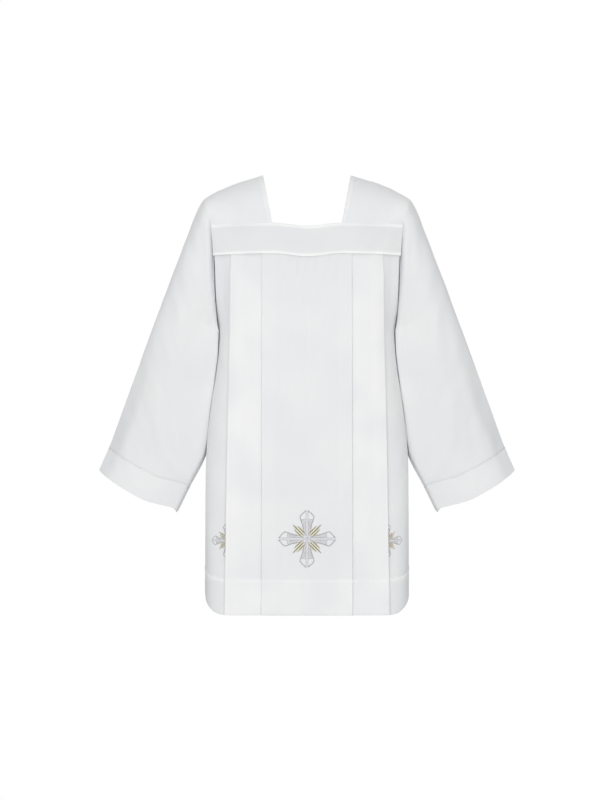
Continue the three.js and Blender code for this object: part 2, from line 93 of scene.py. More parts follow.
# Stacked box pleats
PLEAT_INNER = 88.5
PLEAT_OUTER_TOP = 151.1
PLEAT_OUTER_HEM = 160.9
PLEAT_UNDER = 27.0
PLEAT_STEP_TOP = 0.8
PLEAT_STEP_HEM = 2.0
TOP_LAYER = 4
STRIP_LAYER = 2
OUTER_LIFT = 2.8             # the outer folds stand off the side by this besides, below the band
INNER_LIFT = 0.8             # and the inner folds off the strips by this
LIFT_WIDTH = 46.0            # from this far inside a fold
LIFT_RUN = 60.0              # and fully this far below the band

# Sleeves
SLIM_IN = 0.5                # a hanging sleeve's slim on the side of the body, where it is square
SLIM_IN_START = 1.4          # it goes over to that between these steps
SLIM_IN_END = 2.2
HUG_START = 1.3              # from this step on it comes to follow the side of the body
HUG_RUN = 0.9                # fully so within this
HUG_TURN = 0.65              # up to this turn of its section, in radians
HUG_TURN_RUN = 0.7           # and lets go of it within this
CORNER_EDGE = 7.0            # how sharply the strip to the upper fold starts
CUFF_DIP = 9.0
CUFF_DIP_START = 2.6
CUFF_LEAN = (0.45, -0.9)
CUFF_STITCH_STEP = 2.86
NECK_HEM_STEP = 0.065

# Crosses
CROSS_HEIGHT = -734.0
SIDE_CROSS_SIZE = 0.62       # the side crosses are smaller
SIDE_CROSS_DROP = 4.5        # and lie lower
SIDE_CROSS_UNDER = 1.5       # their middles lie this far under the second fold
SIDE_CROSS_HIDDEN = 4.0      # and their stitches go on this far in under it

BODY_LEVELS = table(
    "z half_width front back power",
    (-100, 191.5, 97, 100, 2.7),
    (-175, 186, 108, 112, 2.9),
    (-250, 183.5, 114, 116, 3.4),
    (-330, 179, 117, 115, 3.8),
    (-400, 185, 119, 114, 3.9),
    (-470, 195, 121, 115, 3.8),
    (-560, 203.9, 123, 118, 4.3),
    (-700, 205.3, 125, 122, 5.6),
    (-885, 204.8, 126, 125, 6.2),
)
# step 0 to 1 follows the band's upper edge from the neck to the armhole, 1 to 2 goes down round the
# armhole, and 2 to 3 follows the underarm seam to the cuff. top_x and top_z place a section's highest
# point, and depth is half its depth. slim shapes the upper half of its arch: 1 is an ellipse, less
# is squarer, and more slopes off earlier. strip is the share of its width that slopes straight off
# to the pressed upper fold, which is deep by the share fold.
SLEEVE_SECTIONS = table(
    "step top_x top_z depth slim strip fold",
    (0, 90, 0, 97, 1.15, 0.01, 0),
    (0.5, 155, -21, 93, 1.15, 0.01, 0),
    (1, 209, -50, 87, 0.9, 0.02, 0.3),
    (1.15, 223, -74, 87, 0.72, 0.04, 0.6),
    (1.5, 250.5, -146, 87, 0.52, 0.06, 0.7),
    (2, 290, -250, 78, 0.45, 0.1, 0.68),
    (2.3, 327, -349, 69, 0.42, 0.16, 0.52),
    (2.6, 363, -446, 56, 0.42, 0.24, 0.28),
    (2.86, 404, -557, 49, 0.45, 0.28, 0.24),
    (3, 424, -602, 46, 0.5, 0.3, 0.24),
)
# the underarm seam, and how much nearer to the body the thin cloth beside it lies
UNDERARM_SEAM = table(
    "step x z nearer",
    (2, 181.4, -331.2, 1.3),
    (2.15, 186, -384, 1.5),
    (2.3, 192.7, -438, 1.2),
    (2.45, 201.2, -498, 2.0),
    (2.6, 206.5, -556, 1.8),
    (2.68, 212.5, -583, 0.8),
    (2.86, 242.5, -640, 0.0),
    (3, 266, -687.5, 0.0),
)

# Soft creases, as straight lines: from x1, z1 to x2, z2, half as wide as width. A positive depth
# sinks, and a negative one is a ridge. On the sleeves x and z are seen from the front, with x
# positive on both hands. On the body x is measured along the cloth from the middle, and on the
# yokes z is how far down the band it is.
SLEEVE_CREASES = table(
    "x1 z1 x2 z2 width depth side hand",
    (172, -66, 210, -175, 9, -3.2, "front"),
    (196, -52, 226, -150, 9, 2.0, "both"),
    (200, -96, 189, -310, 8, 6.0, "front"),
    (193, -205, 216, -262, 4, 1.3, "both"),
    (188, -228, 214, -296, 4, 1.6, "both"),
    (186, -262, 206, -330, 5, 1.4, "both"),
    (240, -190, 292, -520, 20, 2.6, "both"),
    (258, -255, 246, -356, 9, 2.4, "front", "right"),
    (290, -310, 364, -592, 9, -0.8, "front", "right"),
    (309, -450, 292, -612, 12, 3.6, "front", "right"),
    (284, -570, 244, -628, 10, 3.6, "front", "right"),
    (262, -262, 252, -380, 10, 2.2, "front", "left"),
    (284, -330, 350, -592, 9, -0.8, "front", "left"),
    (298, -430, 288, -616, 13, 3.2, "front", "left"),
    (280, -565, 246, -630, 10, 3.4, "front", "left"),
    (268, -240, 250, -390, 12, 2.6, "back"),
    (340, -380, 362, -580, 12, 3.4, "back"),
    (300, -440, 296, -620, 13, 3.6, "back"),
)
BODY_CREASES = table(
    "x1 z1 x2 z2 width depth side",
    (-2, -185, 0, -680, 3.0, 0.6, "both"),
    (-3, -255, -2, -362, 3.6, 1.6, "both"),
    (-12, -168, -19, -226, 4.2, 2.3, "front"),
    (3, -168, 1, -214, 3.8, 2.0, "front"),
    (-28, -168, -34, -208, 5.0, 1.7, "front"),
    (16, -168, 23, -216, 4.5, 1.6, "front"),
    (46, -168, 49, -204, 4.0, 1.0, "front"),
    (-42, -200, -50, -520, 22, 1.3, "front"),
    (34, -230, 30, -640, 24, -1.2, "front"),
    (171, -160, 176, -330, 13, 3.6, "both"),
    (-171, -160, -176, -330, 13, 3.6, "both"),
    (160, -812.5, 208, -807, 2.4, 1.0, "both"),
    (186, -811, 236, -795, 2.4, 1.0, "both"),
    (-162, -812.5, -206, -807, 2.4, 1.1, "both"),
    (-184, -811, -238, -794, 2.4, 1.1, "both"),
    (-118, -190, -122, -560, 13, 0.8, "front"),
    (121, -210, 126, -480, 14, 0.9, "front"),
    (8, -168, 13, -215, 4.2, 1.1, "back"),
    (-22, -168, -27, -204, 4.6, 0.8, "back"),
    (40, -210, 47, -560, 23, 1.3, "back"),
    (-36, -240, -30, -600, 22, -1.0, "back"),
    (117, -200, 124, -520, 14, 0.9, "back"),
)
BAND_CREASES = table(
    "x1 z1 x2 z2 width depth side",
    (-188, 4, -160, 56, 6.0, 0.45, "both"),
    (-176, 2, -150, 40, 5.0, 0.3, "front"),
    (189, 6, 166, 58, 6.0, 0.4, "both"),
    (-40, 44, 34, 50, 4.5, 0.45, "front"),
    (-8, 30, 26, 38, 6.0, 0.3, "both"),
    (60, 12, 84, 40, 7.0, 0.3, "front"),
)


def mix(a, b, t):
    return a + (b - a) * t


def ease(t):
    t = np.clip(t, 0, 1)
    return t * t * (3 - 2 * t)


def along(rows, key, column, at):
    """A smooth curve through one column of a table, as a function of its key column."""
    keys = np.array([row[key] for row in rows], float)
    values = np.array([row[column] for row in rows], float)
    if keys[0] > keys[-1]:
        keys, values = keys[::-1], values[::-1]
    slopes = np.empty_like(values)
    slopes[1:-1] = (values[2:] - values[:-2]) / (keys[2:] - keys[:-2])
    slopes[0] = (values[1] - values[0]) / (keys[1] - keys[0])
    slopes[-1] = (values[-1] - values[-2]) / (keys[-1] - keys[-2])
    at = np.asarray(at, float)
    i = np.clip(np.searchsorted(keys, at, side="right") - 1, 0, len(keys) - 2)
    span = keys[i + 1] - keys[i]
    t = np.clip((at - keys[i]) / span, 0, 1)
    ends = values[i] * (1 + 2 * t) * (1 - t) ** 2 + values[i + 1] * t * t * (3 - 2 * t)
    return ends + slopes[i] * span * t * (1 - t) ** 2 - slopes[i + 1] * span * t * t * (1 - t)


def side_name(side):
    return "front" if side < 0 else "back"


CREASE_ENDS = 0.7            # how quickly a crease grows deep from its ends


def crease_depth(creases, x, z, side, hand="both"):
    """How far the cloth sinks at x, z in a table of creases."""
    total = np.zeros(np.broadcast(x, z).shape)
    for crease in creases:
        if crease["side"] not in ("both", side_name(side)):
            continue
        if crease.get("hand", "both") not in ("both", hand):
            continue
        dx, dz = crease["x2"] - crease["x1"], crease["z2"] - crease["z1"]
        length = math.hypot(dx, dz)
        share = ((x - crease["x1"]) * dx + (z - crease["z1"]) * dz) / length ** 2
        off = ((x - crease["x1"]) * dz - (z - crease["z1"]) * dx) / length
        ends = np.sin(math.pi * np.clip(share, 0, 1)) ** CREASE_ENDS
        total += crease["depth"] * ends * np.exp(-((off / crease["width"]) ** 2))
    return total


RUMPLE_WAVES = 12
BODY_RUMPLE = 0.22
BAND_RUMPLE = 0.16
SLEEVE_RUMPLE = 0.5


def rumple(across, down, seed, size, short=46.0, long=170.0):
    """A faint unevenness of the cloth, drawn out down its length."""
    draw = np.random.default_rng(seed)
    total = np.zeros(np.broadcast(across, down).shape)
    for _ in range(RUMPLE_WAVES):
        rate_across, rate_down = draw.normal(0, 1 / short), draw.normal(0, 1 / long)
        start = draw.uniform(0, 2 * math.pi)
        total += np.sin(2 * math.pi * (across * rate_across + down * rate_down) + start)
    return size * total / math.sqrt(RUMPLE_WAVES / 2)


# The body's outline, level by level

MAP_STEP_Z = 4.0
MAP_STEP_ACROSS = 2.0
MAP_LEVELS = np.arange(-900.0, -88.0, MAP_STEP_Z)
MAP_ACROSS = np.arange(0.0, 320.0, MAP_STEP_ACROSS)
MAP_BEYOND = 60.0            # past the side edge the outline runs straight on by this
MAP_POINTS = 400


def armhole_half(z):
    """Half the armhole's width, seen from the side, at a height."""
    drop = np.clip((ARMHOLE_CURVE_TOP - z) / (ARMHOLE_CURVE_TOP - UNDERARM), 0, 1)
    return ARMHOLE_HALF * np.sqrt(1 - drop * drop)


def armhole_height(share):
    """The height of a point that lies a share of the way down round the armhole."""
    straight = mix(BAND_TOP - BAND_END_DROP, ARMHOLE_CURVE_TOP, share / ARMHOLE_STRAIGHT_SHARE)
    turn = (share - ARMHOLE_STRAIGHT_SHARE) / (1 - ARMHOLE_STRAIGHT_SHARE) * math.pi / 2
    curved = ARMHOLE_CURVE_TOP - (ARMHOLE_CURVE_TOP - UNDERARM) * np.sin(turn)
    return np.where(share <= ARMHOLE_STRAIGHT_SHARE, straight, curved)


def body_map(side):
    """Half the outline at each level, at equal lengths of cloth, with its outward direction."""
    edge = armhole_half(MAP_LEVELS)
    deep = along(BODY_LEVELS, "z", side_name(side), MAP_LEVELS)
    power = along(BODY_LEVELS, "z", "power", MAP_LEVELS)
    wide = along(BODY_LEVELS, "z", "half_width", MAP_LEVELS)
    wide = wide / (1 - (edge / deep) ** power) ** (1 / power)
    ways = np.linspace(0, 1, MAP_POINTS)
    rows, edges = [], []
    for level in range(len(MAP_LEVELS)):
        turn = ways * math.acos((edge[level] / deep[level]) ** (power[level] / 2))
        x = wide[level] * np.sin(turn) ** (2 / power[level])
        y = deep[level] * np.clip(np.cos(turn), 0, 1) ** (2 / power[level])
        steps = np.hypot(np.diff(x), np.diff(y))
        length = np.concatenate([[0], np.cumsum(steps)])
        edges.append(length[-1])
        x = np.append(x, x[-1] + (x[-1] - x[-2]) / steps[-1] * MAP_BEYOND)
        y = np.append(y, y[-1] + (y[-1] - y[-2]) / steps[-1] * MAP_BEYOND)
        length = np.append(length, length[-1] + MAP_BEYOND)
        rows.append([np.interp(MAP_ACROSS, length, x), np.interp(MAP_ACROSS, length, y)])
    x, y = np.array(rows).transpose(1, 0, 2)
    along_x = np.gradient(x, MAP_STEP_ACROSS, axis=1)
    along_y = np.gradient(y, MAP_STEP_ACROSS, axis=1)
    size = np.maximum(np.hypot(along_x, along_y), 1e-6)
    return np.stack([x, y, -along_y / size, along_x / size], -1), np.array(edges)


BODY_MAP = {side: body_map(side) for side in (-1, 1)}


def edge_at(z, side):
    """How far the side edge is from the middle, along the cloth, at a height."""
    return np.interp(z, MAP_LEVELS, BODY_MAP[side][1])


def body_point(across, out, z, side):
    """A point of the body: across is along the cloth from the middle, out is off its lowest layer."""
    mapped = BODY_MAP[side][0]
    across, out, z = np.broadcast_arrays(*(np.asarray(v, float) for v in (across, out, z)))
    row = np.clip((z - MAP_LEVELS[0]) / MAP_STEP_Z, 0, len(MAP_LEVELS) - 1.001)
    column = np.clip(np.abs(across) / MAP_STEP_ACROSS, 0, len(MAP_ACROSS) - 1.001)
    i, j = row.astype(int), column.astype(int)
    f, g = (row - i)[..., None], (column - j)[..., None]
    low = mix(mapped[i, j], mapped[i, j + 1], g)
    high = mix(mapped[i + 1, j], mapped[i + 1, j + 1], g)
    x, y, out_x, out_y = np.moveaxis(mix(low, high, f), -1, 0)
    return np.stack([np.where(across < 0, -1, 1) * (x + out_x * out), side * (y + out_y * out), z], -1)


def band_sink(across, down, side):
    """How far the outer layer of the band sinks in its creases."""
    faint = rumple(across, down, 11 + side, BAND_RUMPLE, 38, 60)
    return crease_depth(BAND_CREASES, across, down, side) + faint


def band_top(across):
    dip = np.cos(math.pi / 2 * np.clip(np.abs(across) / NECK_HALF, 0, 1)) ** 2
    drop = np.clip(np.abs(across) / BODY_LEVELS[0]["half_width"], 0, 1) ** 4
    return BAND_TOP - NECK_SAG * dip - BAND_END_DROP * drop


def pleat_share(z):
    return np.clip((BAND_TOP - z) / (BAND_TOP - HEM), 0, 1)


def pleat_step(z):
    return mix(PLEAT_STEP_TOP, PLEAT_STEP_HEM, pleat_share(z))


def pleat_outer(z):
    return mix(PLEAT_OUTER_TOP, PLEAT_OUTER_HEM, pleat_share(z))


def band_out(across, edge):
    """How far the band's middle stands off the panel. It lies over the pleats."""
    beyond = np.clip((np.abs(across) - PLEAT_INNER) / (edge - PLEAT_INNER), 0, 1)
    return BAND_OUT + TOP_LAYER * pleat_step(BAND_TOP - BAND_HEIGHT) * (1 - beyond ** BAND_EASE)


def corner_rise(across, side):
    """The share of its rise that the hem has reached, round its corner to the side seam."""
    x = np.abs(body_point(across, 0, HEM_STITCH, side)[..., 0])
    round_corner = 1 + (x - BODY_LEVELS[-1]["half_width"]) / SIDE_CORNER
    return 1 - np.sqrt(1 - np.clip(round_corner, 0, 1) ** 2)


def stitch_height(across, side):
    """The height of the hem's stitching."""
    return HEM_STITCH + STITCH_RISE * SIDE_RISE * corner_rise(across, side)


def hem_height(across, side):
    """The lower edge: nearly level, but higher at the side seams."""
    depth = np.abs(body_point(across, 0, HEM_STITCH, side)[..., 1])
    middle = abs(float(body_point(0, 0, HEM_STITCH, side)[1]))
    dip = CORNER_DIP * ease((middle - depth) / CORNER_DIP_WIDTH)
    return HEM - dip + SIDE_RISE * corner_rise(across, side)


def panel_out(across, layer, z, side):
    """How far the middle of a layer of the panel stands off the body. All layers at one place sink
    together in a crease, and a fold and what is folded under it are lifted together."""
    below = ease((BAND_TOP - BAND_HEIGHT - z) / LIFT_RUN)
    to_outer = ease((np.abs(across) - pleat_outer(z) + LIFT_WIDTH) / LIFT_WIDTH)
    to_inner = ease((np.abs(across) - PLEAT_INNER + LIFT_WIDTH) / LIFT_WIDTH)
    on_strip = (layer >= STRIP_LAYER - 1) & (layer <= STRIP_LAYER)
    lift = np.where(on_strip, OUTER_LIFT * to_outer, 0)
    lift += np.where(layer > STRIP_LAYER, INNER_LIFT * to_inner, 0)
    sink = crease_depth(BODY_CREASES, across, z, side) + rumple(across, z, 5 + side, BODY_RUMPLE)
    return layer * pleat_step(z) + below * lift - sink


# Sheets of cloth

CLOTH_SHARP = 50


def select_only(*objects):
    bpy.ops.object.select_all(action="DESELECT")
    for thing in objects:
        thing.select_set(True)
    bpy.context.view_layer.objects.active = objects[0]


def finish_mesh(piece, sharp):
    """Turns all faces outward and shades them smooth, but for edges sharper than that angle."""
    select_only(piece)
    bpy.ops.object.mode_set(mode="EDIT")
    bpy.ops.mesh.select_all(action="SELECT")
    bpy.ops.mesh.normals_make_consistent(inside=False)
    bpy.ops.object.mode_set(mode="OBJECT")
    bpy.ops.object.shade_smooth_by_angle(angle=math.radians(sharp))
    return piece


def cloth_sheet(name, points, cut, plies):
    """A flat grid of cloth whose points are moved to where they hang, then given its thickness.

    points, cut and plies have a row for each row of the grid: places in mm, the same points'
    places in the flat cut, and how many layers of cloth show through there, which make it paler.
    Plies also carry painted light and shade: a little more where light from beside is painted in,
    and a little less where painted shade is."""
    rows, columns = points.shape[:2]
    bpy.ops.object.select_all(action="DESELECT")
    bpy.ops.mesh.primitive_grid_add(x_subdivisions=columns - 1, y_subdivisions=rows - 1, size=1)
    piece = bpy.context.object
    piece.name = piece.data.name = name
    mesh = piece.data
    flat = np.empty(len(mesh.vertices) * 3, np.float32)
    mesh.vertices.foreach_get("co", flat)
    flat = flat.reshape(-1, 3)
    column = np.rint((flat[:, 0] + 0.5) * (columns - 1)).astype(int)
    row = np.rint((0.5 - flat[:, 1]) * (rows - 1)).astype(int)
    mesh.vertices.foreach_set("co", (points[row, column] * MM).astype(np.float32).ravel())
    corner = np.empty(len(mesh.loops), np.int32)
    mesh.loops.foreach_get("vertex_index", corner)
    places = (cut[row, column] * MM).astype(np.float32)[corner]
    mesh.uv_layers[0].data.foreach_set("uv", places.ravel())
    layers = mesh.attributes.new("layers", "FLOAT", "POINT")
    layers.data.foreach_set("value", plies[row, column].astype(np.float32))
    mesh.update()
    solidify = piece.modifiers.new("thickness", "SOLIDIFY")
    solidify.thickness = CLOTH * MM
    solidify.offset = 0
    select_only(piece)
    bpy.ops.object.modifier_apply(modifier=solidify.name)
    return finish_mesh(piece, CLOTH_SHARP)


def lengths(points):
    """How far along each line of points its points lie."""
    steps = np.linalg.norm(np.diff(points, axis=-2), axis=-1)
    start = np.zeros(steps.shape[:-1] + (1,))
    return np.concatenate([start, np.cumsum(steps, axis=-1)], axis=-1)


def flat_places(points, middle):
    """The same grid of points laid flat, from the cloth's own lengths."""
    over = lengths(points)
    down = lengths(points.transpose(1, 0, 2)).T
    return np.stack([over - over[:, [middle]], -down], -1)


# The pleated front and back

EDGE_TURNS = (math.pi / 4, math.pi / 2, 3 * math.pi / 4)     # rows round a folded edge
CENTRE_PARTS = 32
STRIP_PARTS = 20
UNDER_PARTS = 4
SIDE_PARTS = 26
TURN_PARTS = 4
FLAP_PARTS = (0.4, 1.0)      # columns on the side seam's allowance, as shares of its width
PANEL_ROWS = 130
HEM_ROWS = 13
HEM_ROWS_CLOSER = 1.3        # they lie closer by the stitching
SEWN = 0.6                   # the cloth steps up to the hem's layer this far each side of the stitching
ON_LAYER = 0.6               # nearer to a layer than this, the cloth counts as lying on it

# How many layers of cloth the panel looks like beyond its own. Some are real layers, and the others are
# painted light and shade
# painted light: the strips are made paler than the middle of the panel
STRIP_PAINTED_LIGHT = 1.2
BAND_SHADE = 0.8             # painted shade, just below the band
BAND_SHADE_RUN = 110.0
SIDE_PAINTED_LIGHT = 1.6             # painted light: the sides are painted as pale as the front, for the light they catch from the sleeves
SIDE_STEPS = ((175, 60), (222, 36))      # in two steps: from this far out along the cloth, over this
SIDE_LIGHT_RUN = 60.0        # and fully this far below the underarm
SIDE_HEM_LIGHT_SHARE = -0.9        # this share of the painted light is left near the hem, which makes it painted shade there
SIDE_HEM_FROM = -800.0
SIDE_HEM_RUN = 120.0
SIDE_HEM_PAINTED_SHADE = 1.5        # painted shade: less light comes to the hem beside the pleats
SIDE_HEM_EDGE = 8.0          # fully this far from them and below the stitching
INNER_FOLD_HIGHLIGHT = 0.9          # painted highlight along a pressed fold's edge, where the cloth also lies double
OUTER_FOLD_HIGHLIGHT = 1.8
FOLD_HIGHLIGHT_WIDTH = 3.5
UNDER_PALER = 0.3            # a fold is paler too, where more cloth lies under it
STITCHED_PLIES = 2.6         # the hem's own layers by its stitching, with the raw edge turned in


def folded_half(z, edge):
    """Half a pleated panel at the heights z, from the middle to the side seam's allowance.

    Gives across, layer, extra height off it, and the direction of the cloth's face, each with a row
    for each height."""
    z, edge = z[:, None], edge[:, None]
    inner = np.full_like(z, PLEAT_INNER)
    outer = pleat_outer(z)
    runs = [
        (np.zeros_like(z), inner, TOP_LAYER, CENTRE_PARTS),
        (inner, inner - PLEAT_UNDER, TOP_LAYER - 1, UNDER_PARTS),
        (inner - PLEAT_UNDER, outer, STRIP_LAYER, STRIP_PARTS),
        (outer, outer - PLEAT_UNDER, STRIP_LAYER - 1, UNDER_PARTS),
        (outer - PLEAT_UNDER, edge - SEAM_RADIUS, 0, SIDE_PARTS),
    ]
    columns = []

    def add(across, *rest):
        columns.append(np.concatenate([across, *(np.full_like(z, value) for value in rest)], axis=1))

    for number, (start, end, layer, parts) in enumerate(runs):
        way = 1 if number % 2 == 0 else -1
        for i in range(parts + 1):
            add(mix(start, end, i / parts), layer, 0, 0, way)
        if number == len(runs) - 1:
            break
        for i in range(1, TURN_PARTS):
            turn = math.pi * i / TURN_PARTS
            across = end + way * pleat_step(z) / 2 * math.sin(turn)
            add(across, layer - 0.5 + 0.5 * math.cos(turn), 0, math.sin(turn), way * math.cos(turn))
    for turn in (math.pi / 6, math.pi / 3, math.pi / 2):
        add(edge - SEAM_RADIUS * (1 - math.sin(turn)), 0, -SEAM_RADIUS * (1 - math.cos(turn)),
            math.sin(turn), math.cos(turn))
    for inward in FLAP_PARTS:
        add(edge, 0, -SEAM_RADIUS - inward * ALLOWANCE, 1, 0)
    return np.moveaxis(np.stack(columns, axis=1), -1, 0)


def panel_rows(side):
    """The panel's rows: height as a function of across, the face's offset, and the layers there."""
    rows = []

    def top(across):
        return band_top(across) - BAND_HEIGHT + BAND_LAP

    for share in np.arange(PANEL_ROWS) / PANEL_ROWS:
        rows.append((lambda a, s=share: mix(top(a), stitch_height(a, side), s), 0.0, 1))
    rows.append((lambda a: stitch_height(a, side) + SEWN, 0.0, 1))
    for share in np.linspace(0, 1, HEM_ROWS + 1) ** HEM_ROWS_CLOSER:
        ridge = HEM_RIDGE * (1 - ease((share * (HEM_STITCH - HEM) - RIDGE_WIDTH) / 2))
        rows.append((lambda a, s=share: mix(stitch_height(a, side) - SEWN, hem_height(a, side), s),
                     HEM_PLY + ridge, STITCHED_PLIES if ridge > HEM_RIDGE / 2 else 2))
    for turn in EDGE_TURNS:
        rows.append((lambda a, t=turn: hem_height(a, side) - HEM_PLY * math.sin(t),
                     HEM_PLY * math.cos(turn), 2))
    for share in np.linspace(0, 1, HEM_ROWS):
        rows.append((lambda a, s=share: mix(hem_height(a, side), stitch_height(a, side), s), -HEM_PLY, 2))
    return rows


def panel_plies(own, layer, across, z):
    """How many layers of cloth the panel looks like, from its own and where it is, with painted light and
    shade among them.
    """
    # painted light on the strips
    plies = own + np.where(np.abs(layer - STRIP_LAYER) < ON_LAYER, STRIP_PAINTED_LIGHT, 0)
    # painted shade just below the band
    plies = plies - BAND_SHADE * (1 - ease((BAND_TOP - BAND_HEIGHT - z) / BAND_SHADE_RUN))
    off = np.abs(across)
    # painted light on the sides, turning to painted shade near the hem
    beside = sum(ease((off - start) / run) for start, run in SIDE_STEPS)
    light_share = mix(SIDE_HEM_LIGHT_SHARE, 1, ease((z - SIDE_HEM_FROM) / SIDE_HEM_RUN))
    plies += SIDE_PAINTED_LIGHT * beside * ease((UNDERARM - z) / SIDE_LIGHT_RUN) * light_share
    # painted shade on the side hem beside the pleats
    beyond_fold = ease((off - pleat_outer(z) - 2) / SIDE_HEM_EDGE)
    plies -= SIDE_HEM_PAINTED_SHADE * beyond_fold * ease((HEM_STITCH - z) / SIDE_HEM_EDGE)
    # painted highlights along the edges of the pressed folds
    for fold, top, highlight in ((PLEAT_INNER, TOP_LAYER, INNER_FOLD_HIGHLIGHT),
                               (pleat_outer(z), STRIP_LAYER, OUTER_FOLD_HIGHLIGHT)):
        from_fold = np.abs(off - fold)
        edge_highlight = highlight * (1 - ease((from_fold - 1) / (FOLD_HIGHLIGHT_WIDTH - 1)))
        plies += np.where(np.abs(layer - top) < ON_LAYER, edge_highlight, 0)
        plies += np.where((off < fold) & (from_fold < PLEAT_UNDER), UNDER_PALER, 0)
    return plies


def panel(name, side):
    rows = panel_rows(side)
    sample = np.array([float(height(PLEAT_OUTER_TOP)) for height, _, _ in rows])
    seam = np.array([float(height(edge_at(z, side))) for (height, _, _), z in zip(rows, sample)])
    edge = edge_at(seam, side) - np.where(seam > UNDERARM, 0, SEAM_GAP / 2) - CLOTH / 2
    half = folded_half(sample, edge)
    mirrored = half[:, :, :0:-1] * np.array([-1, 1, 1, -1, 1])[:, None, None]
    across, layer, extra, face_across, face_out = np.concatenate([mirrored, half], axis=2)
    offset = np.array([row[1] for row in rows])[:, None]
    place = across + face_across * offset
    z = np.stack([height(across[i]) for i, (height, _, _) in enumerate(rows)])
    out = panel_out(across, layer, z, side) + extra + face_out * offset
    points = body_point(place, out, z, side)
    own = np.array([row[2] for row in rows], float)[:, None]
    plies = panel_plies(own, layer, across, z)
    return cloth_sheet(name, points, flat_places(points, points.shape[1] // 2), plies)


# The yoke bands

BAND_PARTS = 150
BAND_LINING_ROWS = 12
BAND_FACE_ROWS = 36
BAND_ROLL = (BAND_PLY + 0.2) / 2     # the lower edge turns in on this radius
LINING_SHORT = 0.6           # the inner layer ends this far above that edge
TURNED_PLY = -0.1            # and the edge turned in lies this far in front of the band's middle
BAND_PLIES = 1.3             # how many layers of cloth its face looks like
WELT_PLIES = 3.9             # with the turnings under it
TOP_PLIES = 3.6              # on its upper fold
LOW_PLIES = 2.6              # and on its lower one
TURNED_PLIES = 4             # and on the edge turned in there


def band_welt(down):
    """The bulge of the turnings inside the band, near its upper and lower edges."""
    from_edge = np.minimum(down, BAND_HEIGHT - down)
    return BAND_WELT * (1 - ease((from_edge - BAND_WELT_WIDTH + 1) / 2))


def band_point(across, down, ply, edge, side):
    """A point of the band, ply in front of its middle."""
    return body_point(across, band_out(across, edge) + ply, band_top(across) - down, side)


def band(name, side):
    """A strip folded double along its upper edge, with its lower edge turned in."""
    rows = []
    for share in np.linspace(1, 0, BAND_LINING_ROWS):
        rows.append((share * (BAND_HEIGHT - LINING_SHORT), -mix(BAND_PLY, BAND_LINING, share), 2, 0))
    for turn in EDGE_TURNS:
        rows.append((-BAND_PLY * math.sin(turn), -BAND_PLY * math.cos(turn), TOP_PLIES, 0))
    for down in np.linspace(0, BAND_HEIGHT - BAND_ROLL, BAND_FACE_ROWS):
        welt = float(band_welt(down))
        rows.append((down, BAND_PLY + welt, mix(BAND_PLIES, WELT_PLIES, welt / BAND_WELT), 1))
    for turn in (*EDGE_TURNS, math.pi):
        rows.append((BAND_HEIGHT + BAND_ROLL * (math.sin(turn) - 1),
                     BAND_PLY + BAND_WELT / 2 + BAND_ROLL * (math.cos(turn) - 1), LOW_PLIES, 0))
    rows.append((BAND_HEIGHT - BAND_TURNING, TURNED_PLY, TURNED_PLIES, 0))
    down, ply, layers, face = np.array(rows, float).T[:, :, None]
    edge = edge_at(BAND_TOP - np.clip(down, 0, BAND_HEIGHT), side)
    across = np.linspace(-1, 1, BAND_PARTS + 1)[None, :] * edge
    points = band_point(across, down, ply - face * band_sink(across, down, side), edge, side)
    return cloth_sheet(name, points, flat_places(points, BAND_PARTS // 2), layers + 0 * across)


# The sleeves

SLEEVE_HALF_PARTS = 56
SEAM_END = 0.35              # the allowances bend inwards at this share of their width
STRAP_END = 0.94             # and leave the inside of the band from this step on
STRAP_END_RUN = 0.1          # within this
STRAP_ROWS = 26
ARMHOLE_ROWS = 46
ARM_ROWS = 66
CUFF_ROWS = 14
CUFF_LINING_ROWS = 10
NEARER_START = 1.6           # the cloth comes to lie nearer to the body from this step on
NEARER_RUN = 0.45
CREASED_TO = 0.66            # creases stop this share of the way from the fold to the seams
CREASED_RUN = 0.1            # and have gone within this, where the sleeve follows the body
ARM_LENGTH = 160.0           # from the armhole's seam to the upper fold, along the cloth
VALLEY_WIDTH = 4.5           # the valley in the cloth beside the end of the band
VALLEY_DEPTH = 12.0
VALLEY_START = 0.95          # it grows deep from this step
VALLEY_RUN = 0.35            # within this
VALLEY_END = 1.38
VALLEY_END_RUN = 0.3

# Painted light and shade on a sleeve, as layers of cloth beyond its own: paler on the shoulders and
# by the seams of the upper arm, greyer by the upper fold down the arm and by the seams at the cuff.
# Each row sets in at edge, over width, towards the seams, which are at 1, or the upper fold, at 0,
# where width is negative. It also sets in at step, over run, towards the cuff, or the neck where run
# is negative.
SLEEVE_LIGHT_AND_SHADE = table(
    "plies edge width step run",
    (0.4, -1, 0.5, 1.1, -0.2),
    (1.6, 0.55, 0.25, 1.8, 0.3),
    (-1.6, 0.55, 0.25, 2.2, 0.3),
    (-1.2, 0.55, 0.25, 2.8, 0.08),
    (-0.8, 0.3, -0.1, 2.1, 0.4),
    (-2.2, 0.3, -0.1, 2.45, 0.3),
)


def strap_seam(step, side, down):
    """The strap's seam to the band, or a point of its allowance that far down inside the band."""
    edge = edge_at(BAND_TOP - BAND_END_DROP, side)
    across = mix(NECK_HALF, edge + ARMHOLE_GAP, np.clip(step, 0, 1))
    return band_point(across, down, 0, edge, side)


